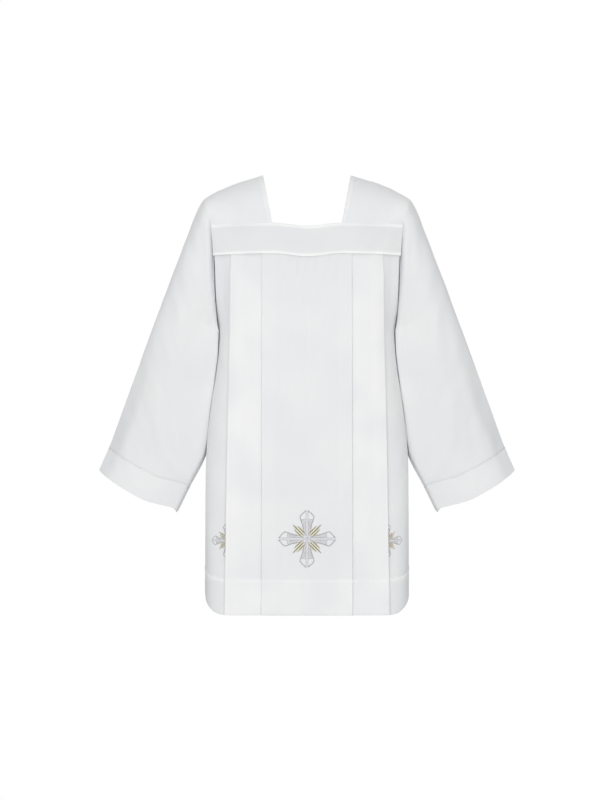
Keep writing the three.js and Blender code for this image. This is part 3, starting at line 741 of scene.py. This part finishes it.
def sleeve_seam(step, side):
    """The sleeve's seam to the band, the armhole and itself, on the front or back."""
    z = armhole_height(np.clip(step - 1, 0, 1))
    edge = edge_at(z, side)
    beyond = ARMHOLE_GAP * armhole_half(z) / ARMHOLE_HALF
    on_armhole = body_point(edge + beyond, BAND_OUT, z, side)
    under = np.stack([along(UNDERARM_SEAM, "step", "x", step), 0 * step + side * SEAM_GAP,
                      along(UNDERARM_SEAM, "step", "z", step)], -1)
    lower = np.where((step >= 2)[..., None], under, on_armhole)
    return np.where((step > 1)[..., None], lower, strap_seam(step, side, -STRAP_GAP))


def body_side(y, z):
    """How far out the side of the body is, below the armholes, before or behind the side seam by y."""
    deep = np.where(y < 0, along(BODY_LEVELS, "z", "front", z), along(BODY_LEVELS, "z", "back", z))
    power = along(BODY_LEVELS, "z", "power", z)
    return along(BODY_LEVELS, "z", "half_width", z) * (1 - np.abs(y / deep) ** power) ** (1 / power)


def softer(a, b):
    """The smaller of two numbers, rounded off where they meet."""
    return a * b / np.maximum((a ** CORNER_EDGE + b ** CORNER_EDGE) ** (1 / CORNER_EDGE), 1e-9)


def sleeve_middle(step, around):
    """The middle of the left sleeve's cloth before it creases. around is -1 at the front seam, 0 on
    top and 1 at the back seam."""
    side = np.where(around < 0, -1, 1)
    seam = np.where((side < 0)[..., None], sleeve_seam(step, -1), sleeve_seam(step, 1))
    deep = np.maximum(along(SLEEVE_SECTIONS, "step", "depth", step), np.abs(seam[..., 1]))
    slim = along(SLEEVE_SECTIONS, "step", "slim", step)
    slim_in = mix(slim, SLIM_IN, ease((step - SLIM_IN_START) / (SLIM_IN_END - SLIM_IN_START)))
    start = np.arcsin(np.clip(np.abs(seam[..., 1]) / deep, 0, 1) ** (1 / slim_in))
    turn = mix(math.pi, start, np.abs(around))
    share = (np.cos(start) - np.cos(turn)) / (np.cos(start) + 1)
    slim = np.where(turn < math.pi / 2, slim_in, slim)
    dip = CUFF_DIP * ease((step - CUFF_DIP_START) / (3 - CUFF_DIP_START)) * np.sin(turn)
    z = mix(seam[..., 2], along(SLEEVE_SECTIONS, "step", "top_z", step), share) + CUFF_LEAN[1] * dip
    slope = (1 - share) / along(SLEEVE_SECTIONS, "step", "strip", step)
    slope = np.clip(mix(along(SLEEVE_SECTIONS, "step", "fold", step), 1, slope), 0, None)
    y = side * deep * softer(np.clip(np.sin(turn), 0, 1) ** slim, slope)
    x = mix(seam[..., 0], along(SLEEVE_SECTIONS, "step", "top_x", step), share) + CUFF_LEAN[0] * dip
    hug = ease((step - HUG_START) / HUG_RUN) * (1 - ease((turn - HUG_TURN) / HUG_TURN_RUN))
    at_seam = body_side(seam[..., 1], np.minimum(seam[..., 2], UNDERARM))
    beside = seam[..., 0] + body_side(y, np.minimum(z, UNDERARM)) - at_seam
    nearer = along(UNDERARM_SEAM, "step", "nearer", step) * ease((step - NEARER_START) / NEARER_RUN)
    return np.stack([mix(x, beside - nearer, hug), y, z], -1)


def armhole_valley(step, around):
    """How far the cloth beside the end of the band is drawn back, next to the armhole's seam."""
    off = (1 - np.abs(around)) * ARM_LENGTH / VALLEY_WIDTH
    down = ease((step - VALLEY_START) / VALLEY_RUN) * (1 - ease((step - VALLEY_END) / VALLEY_END_RUN))
    return VALLEY_DEPTH * down * off * np.exp(1 - off)


def sleeve_face(step, around, offset, hand):
    """Points of a sleeve's cloth, and the way it faces. The right sleeve is the left one mirrored,
    with creases of its own."""
    step, around = np.broadcast_arrays(np.asarray(step, float), np.asarray(around, float))
    small = 1e-3
    middle = sleeve_middle(step, around)
    down = sleeve_middle(np.minimum(step + small, 3), around)
    down = down - sleeve_middle(np.maximum(step - small, 0), around)
    over = sleeve_middle(step, np.minimum(around + small, 1))
    over = over - sleeve_middle(step, np.maximum(around - small, -1))
    facing = np.cross(over, down)
    facing /= np.linalg.norm(facing, axis=-1, keepdims=True)
    x, z = middle[..., 0], middle[..., 2]
    which = "left" if hand > 0 else "right"
    front, back = (crease_depth(SLEEVE_CREASES, x, z, side, which)
                   + rumple(x, z, 26 + 5 * side + hand, SLEEVE_RUMPLE, 60, 190) for side in (-1, 1))
    sink = np.where(around < 0, front, back) * np.sin(math.pi * np.abs(around)) ** 0.5
    smooth = ease((np.abs(around) - CREASED_TO) / CREASED_RUN) * ease((step - HUG_START) / HUG_RUN)
    sink = sink * (1 - smooth)
    points = middle + facing * (offset - sink)[..., None]
    points[..., 1] += np.where(around < 0, 1, -1) * armhole_valley(step, around)
    mirror = np.array([hand, 1, 1])
    return points * mirror, facing * mirror


def sleeve_rows():
    """The sleeve's rows from the neck to the cuff: step, the face's offset, and the layers there."""
    rows = [(step, -HEM_PLY, 2) for step in np.linspace(NECK_HEM_STEP, 0, 4)]
    rows += [(0.0, HEM_PLY, 2)]
    rows += [(step, HEM_PLY, 2) for step in np.linspace(0.015, NECK_HEM_STEP, 4)]
    rows += [(step, 0.0, 1) for step in np.linspace(NECK_HEM_STEP + 0.01, 1, STRAP_ROWS)]
    rows += [(step, 0.0, 1) for step in np.linspace(1, 2, ARMHOLE_ROWS)[1:]]
    rows += [(step, 0.0, 1) for step in np.linspace(2, CUFF_STITCH_STEP - 0.003, ARM_ROWS)[1:]]
    for i, step in enumerate(np.linspace(CUFF_STITCH_STEP, 3, CUFF_ROWS)):
        ridge = HEM_RIDGE if i < 2 else 0.0
        rows.append((step, HEM_PLY + ridge, 3 if ridge else 2))
    rows += [(step, -HEM_PLY, 2) for step in np.linspace(3, CUFF_STITCH_STEP, CUFF_LINING_ROWS)]
    return np.array(rows)


def sleeve(name, hand):
    step, offset, layers = sleeve_rows().T[:, :, None]
    around = np.linspace(-1, 1, 2 * SLEEVE_HALF_PARTS + 1)[None, :]
    points, _ = sleeve_face(step, around, offset, hand)
    middle = (points[:, [SLEEVE_HALF_PARTS]] + (points[:, [0]] + points[:, [-1]]) / 2) / 2
    below_strap = ease((step[:, :, None] - STRAP_END) / STRAP_END_RUN)
    flaps = {}
    for side, end in ((-1, 0), (1, -1)):
        seam = points[:, [end]]
        inward = (middle - seam) / np.linalg.norm(middle - seam, axis=-1, keepdims=True)
        for part in (SEAM_END, 1.0):
            in_band = strap_seam(step, side, part * ALLOWANCE) * np.array([hand, 1, 1])
            flaps[side, part] = mix(in_band, seam + inward * ALLOWANCE * part, below_strap)
    points = np.concatenate([flaps[-1, 1.0], flaps[-1, SEAM_END], points, flaps[1, SEAM_END],
                             flaps[1, 1.0]], axis=1)
    cut = flat_places(points, points.shape[1] // 2)
    beside = np.concatenate([[[1, 1]], np.abs(around), [[1, 1]]], axis=1)
    plies = layers + 0 * cut[..., 0]
    # painted light and shade
    for painted in SLEEVE_LIGHT_AND_SHADE:
        at_edge = ease((beside - painted["edge"]) / painted["width"])
        plies += painted["plies"] * at_edge * ease((step - painted["step"]) / painted["run"])
    return cloth_sheet(name, points, cut, plies)


# Threads: one is modelled, and the others are its copies

THREAD_SHARP = 80
THREAD_SIDES = 5
THREAD_CUTS = 2


def modelled_thread():
    """A closed length of thread from z 0 to 1, 1 across, as its points and faces."""
    bpy.ops.object.select_all(action="DESELECT")
    bpy.ops.mesh.primitive_cylinder_add(vertices=THREAD_SIDES, radius=0.5, depth=1, location=(0, 0, 0.5))
    thread = bpy.context.object
    bpy.ops.object.transform_apply(location=True)
    for part in (thread.data.vertices, thread.data.edges, thread.data.polygons):
        part.foreach_set("select", [False] * len(part))
    for edge in thread.data.edges:
        low, high = (thread.data.vertices[v].co.z for v in edge.vertices)
        edge.select = abs(high - low) > 0.5
    bpy.context.tool_settings.mesh_select_mode = (False, True, False)
    bpy.ops.object.mode_set(mode="EDIT")
    bpy.ops.mesh.subdivide(number_cuts=THREAD_CUTS)
    bpy.ops.object.mode_set(mode="OBJECT")
    points = np.array([tuple(v.co) for v in thread.data.vertices])
    faces = [tuple(p.vertices) for p in thread.data.polygons]
    bpy.data.objects.remove(thread)
    return points, faces


THREAD = modelled_thread()


def laid_threads(name, starts, ends, ups, thick, rise, ends_in, materials=(), which=None):
    """Threads in one mesh, from starts to ends in mm. Each is an arch that rises off the cloth and
    goes into it at both ends."""
    shape, faces = THREAD
    way = ends - starts
    size = np.linalg.norm(way, axis=1, keepdims=True)
    aside = np.cross(way / size, ups)
    thick = np.broadcast_to(np.asarray(thick, float), (len(starts),))[:, None, None]
    share = shape[:, 2][None, :, None]
    arch = 1 - (2 * share - 1) ** 2
    points = starts[:, None] + way[:, None] * share
    points = points + aside[:, None] * shape[:, 0][None, :, None] * thick
    height = shape[:, 1][None, :, None] * thick + rise * arch - ends_in * (1 - arch)
    points = points + ups[:, None] * height
    count = len(shape)
    numbers = [tuple(v + count * i for v in face) for i in range(len(starts)) for face in faces]
    mesh = bpy.data.meshes.new(name)
    mesh.from_pydata((points.reshape(-1, 3) * MM).tolist(), [], numbers)
    uv = mesh.uv_layers.new(name="UVMap")
    corner = np.empty(len(mesh.loops), np.int32)
    mesh.loops.foreach_get("vertex_index", corner)
    laid = np.stack([np.broadcast_to(share[0, :, 0] * size, (len(starts), count)),
                     np.broadcast_to(np.arange(len(starts))[:, None], (len(starts), count)) * 1.0], -1)
    uv.data.foreach_set("uv", (laid.reshape(-1, 2)[corner] * MM).astype(np.float32).ravel())
    piece = bpy.data.objects.new(name, mesh)
    bpy.context.collection.objects.link(piece)
    for material in materials:
        mesh.materials.append(material)
    if which is not None:
        slots = np.repeat(np.asarray(which, np.int32), len(faces))
        mesh.polygons.foreach_set("material_index", slots)
    return finish_mesh(piece, THREAD_SHARP)


# Sewing

STITCH = 2.6
STITCH_PITCH = 3.1
SEWING_THREAD = 0.4          # drawn a little thicker than the real 0.3
SEWING_RISE = 0.1            # the middle of a stitch lifts off the cloth
SEWING_ENDS_IN = 0.24        # and its ends go into it
BAND_STITCH_IN = 4.6         # the yoke is stitched this far inside its edges
HEM_STITCH_IN = 2.2          # and the hem this far below the edge of its turned-up layer


def stitch_row(line, ups):
    """Starts, ends and ups of the stitches along a line of points on the cloth."""
    total = lengths(line)
    count = max(1, int(total[-1] / STITCH_PITCH))
    starts = (np.arange(count) + 0.5) * total[-1] / count - STITCH / 2

    def at(values, where):
        return np.stack([np.interp(where, total, values[:, i]) for i in range(3)], -1)

    return at(line, starts), at(line, starts + STITCH), at(ups, starts + STITCH / 2)


def sewn(name, rows):
    starts, ends, ups = (np.concatenate(part) for part in zip(*(stitch_row(*row) for row in rows)))
    return laid_threads(name, starts, ends, ups, SEWING_THREAD, SEWING_RISE, SEWING_ENDS_IN)


def hem_stitching(side):
    outer = float(pleat_outer(HEM_STITCH))
    edge = float(edge_at(HEM_STITCH, side)) - SEAM_RADIUS - 1
    rows = []
    for low, high, layer in ((-PLEAT_INNER + 1, PLEAT_INNER - 1, TOP_LAYER),
                             (PLEAT_INNER + 2, outer - 1, STRIP_LAYER), (outer + 2, edge, 0)):
        for hand in (1, -1) if low > 0 else (1,):
            across = hand * np.linspace(low, high, 80)
            z = stitch_height(across, side) - HEM_STITCH_IN
            out = panel_out(across, layer, z, side) + HEM_PLY + HEM_RIDGE + CLOTH / 2
            line = body_point(across, out, z, side)
            rows.append((line, body_point(across, out + 1, z, side) - line))
    return sewn(side_name(side) + "_hem_stitching", rows)


def band_stitching(side):
    rows = []
    for down in (BAND_STITCH_IN, BAND_HEIGHT - BAND_STITCH_IN):
        edge = float(edge_at(BAND_TOP - down, side))
        across = np.linspace(-edge + 1, edge - 1, 200)
        ply = BAND_PLY + float(band_welt(down)) + CLOTH / 2 - band_sink(across, down, side)
        line = band_point(across, down, ply, edge, side)
        rows.append((line, band_point(across, down, ply + 1, edge, side) - line))
    return sewn(side_name(side) + "_yoke_stitching", rows)


def sleeve_stitching(hand):
    around = np.linspace(-1, 1, 260)
    rows = []
    for step, lift in ((CUFF_STITCH_STEP + 0.004, HEM_PLY + HEM_RIDGE), (NECK_HEM_STEP - 0.012, HEM_PLY)):
        rows.append(sleeve_face(step, around, lift + CLOTH / 2, hand))
    return sewn(("left" if hand > 0 else "right") + "_sleeve_stitching", rows)


# Embroidery, drawn in the plane of the cloth and laid on it thread by thread

THREAD_PITCH = 0.46          # satin stitches lie side by side; real ones are about 0.4
SATIN_RISE = 0.35
SATIN_ENDS_IN = 0.1
PALE_THICK = 0.4             # the pale silver thread is a little finer
SILVER, PALE, GOLD, PALE_GOLD = range(4)
ARM_SHAPE = table(
    "from half",
    (6.5, 3.6),
    (16, 6.4),
    (30, 9.6),
    (40, 13.2),
    (44, 14.0),
    (49, 9.8),
    (56, 1.6),
)
ARM_SPLIT = 1.3              # bare cloth each side of an arm's middle line
OUTLINE = 2.0
INNER_LINE = 1.1
WINDOW_FROM = 38.5           # the widened end of an arm is left open inside its outline
SILL_END = 11.5              # and the line below that slopes from the middle line out to here
RAYS = table(
    "aside from to half",
    (-4.7, 10.0, 31.0, 0.75),
    (0.0, 9.0, 40.0, 0.9),
    (4.7, 10.0, 31.0, 0.75),
)
GLOW_HALF = 0.7              # pale gold is worked beside each ray
GLOW_ASIDE = 1.6
GLOW_SHORTER = 4.0
HEART_STRAIGHT = (1.2, 8.0, 1.2)         # the short pale rays in the middle: from, to, half width
HEART_SLANTED = (1.2, 7.0, 0.9)


def resampled(line, count):
    total = lengths(line)
    where = np.linspace(0, total[-1], count)
    return np.stack([np.interp(where, total, line[:, i]) for i in range(2)], -1)


def satin(rail_a, rail_b, colour, lean=0.0):
    """Stitches side by side from one rail to the other. lean slants them along the rails."""
    longest = max(lengths(rail_a)[-1], lengths(rail_b)[-1])
    count = max(2, int(longest / THREAD_PITCH))
    a, b = resampled(rail_a, count), resampled(rail_b, count)
    if lean:
        shift = int(round(lean / THREAD_PITCH))
        a, b = a[:-shift], b[shift:]
    return a, b, np.full(len(a), colour)


def cord_line(line, width, colour):
    """A narrow satin line of one width along a line of points."""
    way = np.gradient(line, axis=0)
    way /= np.linalg.norm(way, axis=1, keepdims=True)
    aside = np.stack([-way[:, 1], way[:, 0]], -1) * width / 2
    return satin(line + aside, line - aside, colour)


def half_arm():
    """One half of the upper arm, to the right of its middle line."""
    up = np.linspace(ARM_SHAPE[0]["from"], ARM_SHAPE[-1]["from"], 60)
    half = np.interp(up, [row["from"] for row in ARM_SHAPE], [row["half"] for row in ARM_SHAPE])
    edge = np.stack([half, up], -1)
    middle = np.stack([0 * up + ARM_SPLIT + INNER_LINE / 2, up], -1)
    filled = up < WINDOW_FROM
    inside = edge[filled] - np.array([OUTLINE * 0.4, 0])
    sill = np.stack([np.linspace(ARM_SPLIT + 1, SILL_END, 14), WINDOW_FROM + np.linspace(1, -1, 14)], -1)
    return [
        satin(middle[filled] + np.array([INNER_LINE * 0.3, 0]), inside, PALE, lean=2.2),
        cord_line(edge, OUTLINE, SILVER),
        cord_line(middle, INNER_LINE, SILVER),
        cord_line(sill, INNER_LINE, SILVER),
    ]


def turned(points, turn):
    """Points of the design, turned clockwise about its middle."""
    return points @ np.array([[math.cos(turn), -math.sin(turn)], [math.sin(turn), math.cos(turn)]])


def tapered_ray(turn, start, end, half, colour, aside=0.0):
    """A ray at a turn from straight up, pointed at both ends."""
    way = np.linspace(0, 1, 30)
    wide = half * np.sin(math.pi * way ** 0.7) ** 0.4 + 0.15
    out = mix(start, end, way)
    a, b = (turned(np.stack([aside + hand * wide, out], -1), turn) for hand in (1, -1))
    return satin(a, b, colour)


def cross_design():
    """All stitches of a cross: starts, ends and colours, from its middle."""
    parts = []
    for quarter in range(4):
        turn = quarter * math.pi / 2
        for hand in (1, -1):
            for a, b, colour in half_arm():
                parts.append((turned(a * (hand, 1), turn), turned(b * (hand, 1), turn), colour))
        slant = turn + math.pi / 4
        for ray in RAYS:
            parts.append(tapered_ray(slant, ray["from"], ray["to"], ray["half"], GOLD, ray["aside"]))
            for hand in (1, -1):
                beside = ray["aside"] + hand * (ray["half"] + GLOW_ASIDE)
                end = ray["to"] - GLOW_SHORTER
                parts.append(tapered_ray(slant, ray["from"], end, GLOW_HALF, PALE_GOLD, beside))
        parts.append(tapered_ray(turn, *HEART_STRAIGHT, PALE))
        parts.append(tapered_ray(slant, *HEART_SLANTED, PALE))
    starts, ends, colours = (np.concatenate(group) for group in zip(*parts))
    return starts, ends, colours


def embroidered_cross(name, middle, height, layer, size, seen_from, threads):
    """A cross on the front. Stitches that lie nearer the middle than seen_from are left out."""
    starts, ends, colours = cross_design()
    starts, ends = starts * size, ends * size
    seen = np.abs(middle + (starts[:, 0] + ends[:, 0]) / 2) >= seen_from
    starts, ends, colours = starts[seen], ends[seen], colours[seen]

    def laid(flat, lift):
        across, z = middle + flat[:, 0], height + flat[:, 1]
        out = panel_out(across, layer, z, -1) + CLOTH / 2 + lift
        return body_point(across, out, z, -1)

    ups = laid((starts + ends) / 2, 1) - laid((starts + ends) / 2, 0)
    thick = size * np.where(colours == PALE, PALE_THICK, THREAD_PITCH)
    return laid_threads(name, laid(starts, 0), laid(ends, 0), ups, thick, SATIN_RISE, SATIN_ENDS_IN, threads,
                        colours)


# Finishes

def linear(code):
    """An sRGB hex colour as linear RGBA."""
    parts = [int(code[i:i + 2], 16) / 255 for i in (1, 3, 5)]
    return (*(p / 12.92 if p <= 0.04045 else ((p + 0.055) / 1.055) ** 2.4 for p in parts), 1.0)


def add_node(tree, kind, settings=None, values=None, links=None):
    """Adds a node with its properties, its inputs' values and what its inputs are linked to."""
    node = tree.nodes.new(kind)
    for key, value in (settings or {}).items():
        setattr(node, key, value)
    for key, value in (values or {}).items():
        node.inputs[key].default_value = value
    for key, source in (links or {}).items():
        tree.links.new(source, node.inputs[key])
    return node


def sine_of(tree, source):
    return add_node(tree, "ShaderNodeMath", {"operation": "SINE"}, links={0: source})


def new_material(name):
    material = bpy.data.materials.new(name)
    material.use_nodes = True
    material.node_tree.nodes.clear()
    return material, material.node_tree


WEAVE_PITCH = 0.0009         # a thread and its gap; the real cloth's 0.25 mm would not show
SLUB = 0.004


def woven_cotton(name, thin, doubled, shaded):
    """Plain-woven polyester and cotton, bleached and ironed: matt, white, and whiter where it lies
    double, with threads that rise and sink past each other."""
    material, tree = new_material(name)
    places = add_node(tree, "ShaderNodeUVMap", {"uv_map": "UVMap"})
    turns = add_node(tree, "ShaderNodeVectorMath", {"operation": "SCALE"},
                     {"Scale": math.pi / WEAVE_PITCH}, {0: places.outputs[0]})
    axes = add_node(tree, "ShaderNodeSeparateXYZ", links={0: turns.outputs[0]})
    warp, weft = sine_of(tree, axes.outputs[0]), sine_of(tree, axes.outputs[1])
    weave = add_node(tree, "ShaderNodeMath", {"operation": "MULTIPLY"},
                     links={0: warp.outputs[0], 1: weft.outputs[0]})
    slub = add_node(tree, "ShaderNodeTexNoise", {"noise_dimensions": "2D"},
                    {"Scale": 1 / SLUB, "Detail": 2.0, "Roughness": 0.6}, {"Vector": places.outputs[0]})
    height = add_node(tree, "ShaderNodeMath", {"operation": "ADD"},
                      links={0: weave.outputs[0], 1: slub.outputs[0]})
    bump = add_node(tree, "ShaderNodeBump", values={"Strength": 0.35, "Distance": 0.00007},
                    links={"Height": height.outputs[0]})
    # the layers attribute carries real layers, and painted light and shade as more or fewer of them
    plies = add_node(tree, "ShaderNodeAttribute", {"attribute_name": "layers"})
    double = add_node(tree, "ShaderNodeMapRange", values={"From Min": -2.0, "From Max": 4.0},
                      links={"Value": plies.outputs["Fac"]})
    white = add_node(tree, "ShaderNodeMix", {"data_type": "RGBA"},
                     {6: linear(thin), 7: linear(doubled)}, {0: double.outputs[0]})
    cloud = add_node(tree, "ShaderNodeTexNoise", {"noise_dimensions": "2D"},
                     {"Scale": 9.0, "Detail": 1.0, "Roughness": 0.5}, {"Vector": places.outputs[0]})
    tint = add_node(tree, "ShaderNodeMapRange", values={"From Min": 0.35, "From Max": 0.75, "To Max": 0.5},
                    links={"Value": cloud.outputs[0]})
    colour = add_node(tree, "ShaderNodeMix", {"data_type": "RGBA"}, {7: linear(shaded)},
                      {0: tint.outputs[0], 6: white.outputs[2]})
    shader = add_node(tree, "ShaderNodeBsdfPrincipled",
                      values={"Roughness": 0.88, "Sheen Weight": 0.03, "Sheen Roughness": 0.5,
                              "Specular IOR Level": 0.12},
                      links={"Base Color": colour.outputs[2], "Normal": bump.outputs[0]})
    add_node(tree, "ShaderNodeOutputMaterial", links={"Surface": shader.outputs[0]})
    return material


TWIST_PITCH = 0.0008         # the plies of a thread wind round each other this often


def spun_thread(name, code, roughness, metallic=0.0):
    """Two-ply embroidery or sewing thread: smooth, with a soft shine along its length."""
    material, tree = new_material(name)
    places = add_node(tree, "ShaderNodeUVMap", {"uv_map": "UVMap"})
    axes = add_node(tree, "ShaderNodeSeparateXYZ", links={0: places.outputs[0]})
    turns = add_node(tree, "ShaderNodeMath", {"operation": "MULTIPLY"}, {1: 2 * math.pi / TWIST_PITCH},
                     {0: axes.outputs[0]})
    twist = sine_of(tree, turns.outputs[0])
    bump = add_node(tree, "ShaderNodeBump", values={"Strength": 0.3, "Distance": 0.00005},
                    links={"Height": twist.outputs[0]})
    shader = add_node(tree, "ShaderNodeBsdfPrincipled",
                      values={"Base Color": linear(code), "Roughness": roughness, "Metallic": metallic},
                      links={"Normal": bump.outputs[0]})
    add_node(tree, "ShaderNodeOutputMaterial", links={"Surface": shader.outputs[0]})
    return material


# Camera, light and stage

CAMERA_DISTANCE = 3.5
CAMERA_SIDE = -0.001
CAMERA_HEIGHT = -0.46
PHOTO_MM_PER_PIXEL = 2.05
PHOTO_HEIGHT = 800
SENSOR = 36.0


def make_camera():
    data = bpy.data.cameras.new("camera")
    data.sensor_width = SENSOR
    data.lens = SENSOR * CAMERA_DISTANCE / (PHOTO_HEIGHT * PHOTO_MM_PER_PIXEL * MM)
    camera = bpy.data.objects.new("camera", data)
    camera.location = (CAMERA_SIDE, -CAMERA_DISTANCE, CAMERA_HEIGHT)
    camera.rotation_euler = (math.pi / 2, 0, 0)
    bpy.context.collection.objects.link(camera)
    bpy.context.scene.camera = camera


LIGHT_AIM = (0.0, 0.0, -0.45)
WORLD_LIGHT = 0.62
SOFTBOXES = table(
    "name place size power",
    ("key", (-1.1, -3.5, 0.0), 1.6, 31),
    ("fill", (1.1, -3.5, -0.4), 1.6, 20.5),
    ("top", (0.0, -1.7, 2.4), 2.0, 9),
    ("rear", (0.5, 3.4, 0.5), 2.0, 60),
)
LIGHT_BOUNCES = 10           # light goes far into the folds of white cloth


def softbox(name, place, size, power):
    data = bpy.data.lights.new(name, "AREA")
    data.shape = "SQUARE"
    data.size = size
    data.energy = power
    light = bpy.data.objects.new(name, data)
    light.location = place
    aim = light.location.copy()
    aim.xyz = [to - at for to, at in zip(LIGHT_AIM, place)]
    light.rotation_mode = "QUATERNION"
    light.rotation_quaternion = aim.to_track_quat("-Z", "Y")
    bpy.context.collection.objects.link(light)


def make_stage():
    bpy.ops.object.select_all(action="DESELECT")
    bpy.ops.mesh.primitive_uv_sphere_add(segments=64, ring_count=32, radius=9)
    dome = bpy.context.object
    dome.name = "studio_dome"
    material, tree = new_material("white studio sweep")
    glow = add_node(tree, "ShaderNodeEmission", values={"Color": (1, 1, 1, 1), "Strength": 1.0})
    add_node(tree, "ShaderNodeOutputMaterial", links={"Surface": glow.outputs[0]})
    dome.data.materials.append(material)
    for rays in ("diffuse", "glossy", "transmission", "shadow"):
        setattr(dome, "visible_" + rays, False)


def make_light():
    world = bpy.data.worlds.new("studio")
    world.use_nodes = True
    background = world.node_tree.nodes["Background"]
    background.inputs["Color"].default_value = (1, 1, 1, 1)
    background.inputs["Strength"].default_value = WORLD_LIGHT
    bpy.context.scene.world = world
    for row in SOFTBOXES:
        softbox(**row)
    bpy.context.scene.view_settings.view_transform = "Standard"
    bpy.context.scene.cycles.diffuse_bounces = LIGHT_BOUNCES
    bpy.context.scene.cycles.max_bounces = LIGHT_BOUNCES + 2


# The whole garment

def dress(piece, node=None, material=None):
    if material is not None:
        piece.data.materials.clear()
        piece.data.materials.append(material)
    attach(piece, "root")
    if node:
        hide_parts(node)


def make_garment():
    cotton = woven_cotton("plain-woven cotton, white", "#dadcde", "#f6f6f5", "#e2e3e7")
    # the yoke's copy of the cotton is a little greyer than the rest
    yoke_cotton = woven_cotton("plain-woven cotton of the yoke, white", "#cfd1d3", "#f6f6f5", "#dadbdf")
    sewing = spun_thread("polyester sewing thread, white", "#f1f1ef", 0.5)
    threads = [
        spun_thread("embroidery thread, silver grey", "#bec0c3", 0.38),
        spun_thread("embroidery thread, pale silver", "#e0dfe2", 0.36),
        spun_thread("embroidery thread, old gold", "#8a815c", 0.36, 0.15),
        spun_thread("embroidery thread, pale gold", "#f3eed4", 0.4),
    ]
    for side in (-1, 1):
        name = side_name(side)
        body, yoke = panel(name + "_panel_cloth", side), band(name + "_yoke_cloth", side)
        dress(body, name + "_panel", cotton)
        dress(yoke, name + "_yoke", yoke_cotton)
        dress(hem_stitching(side), material=sewing)
        dress(band_stitching(side), material=sewing)
    for name, hand in (("left", 1), ("right", -1)):
        arm = sleeve(name + "_sleeve_cloth", hand)
        dress(arm, name + "_sleeve", cotton)
        dress(sleeve_stitching(hand), material=sewing)
        fold = float(pleat_outer(CROSS_HEIGHT))
        cross = embroidered_cross(name + "_side_cross_threads", hand * (fold - SIDE_CROSS_UNDER),
                                  CROSS_HEIGHT - SIDE_CROSS_DROP, 0, SIDE_CROSS_SIZE,
                                  fold - SIDE_CROSS_HIDDEN, threads)
        dress(cross, name + "_side_cross")
    cross = embroidered_cross("front_cross_threads", 0, CROSS_HEIGHT, TOP_LAYER, 1, 0, threads)
    dress(cross, "front_cross")


make_camera()
make_stage()
make_light()
make_garment()
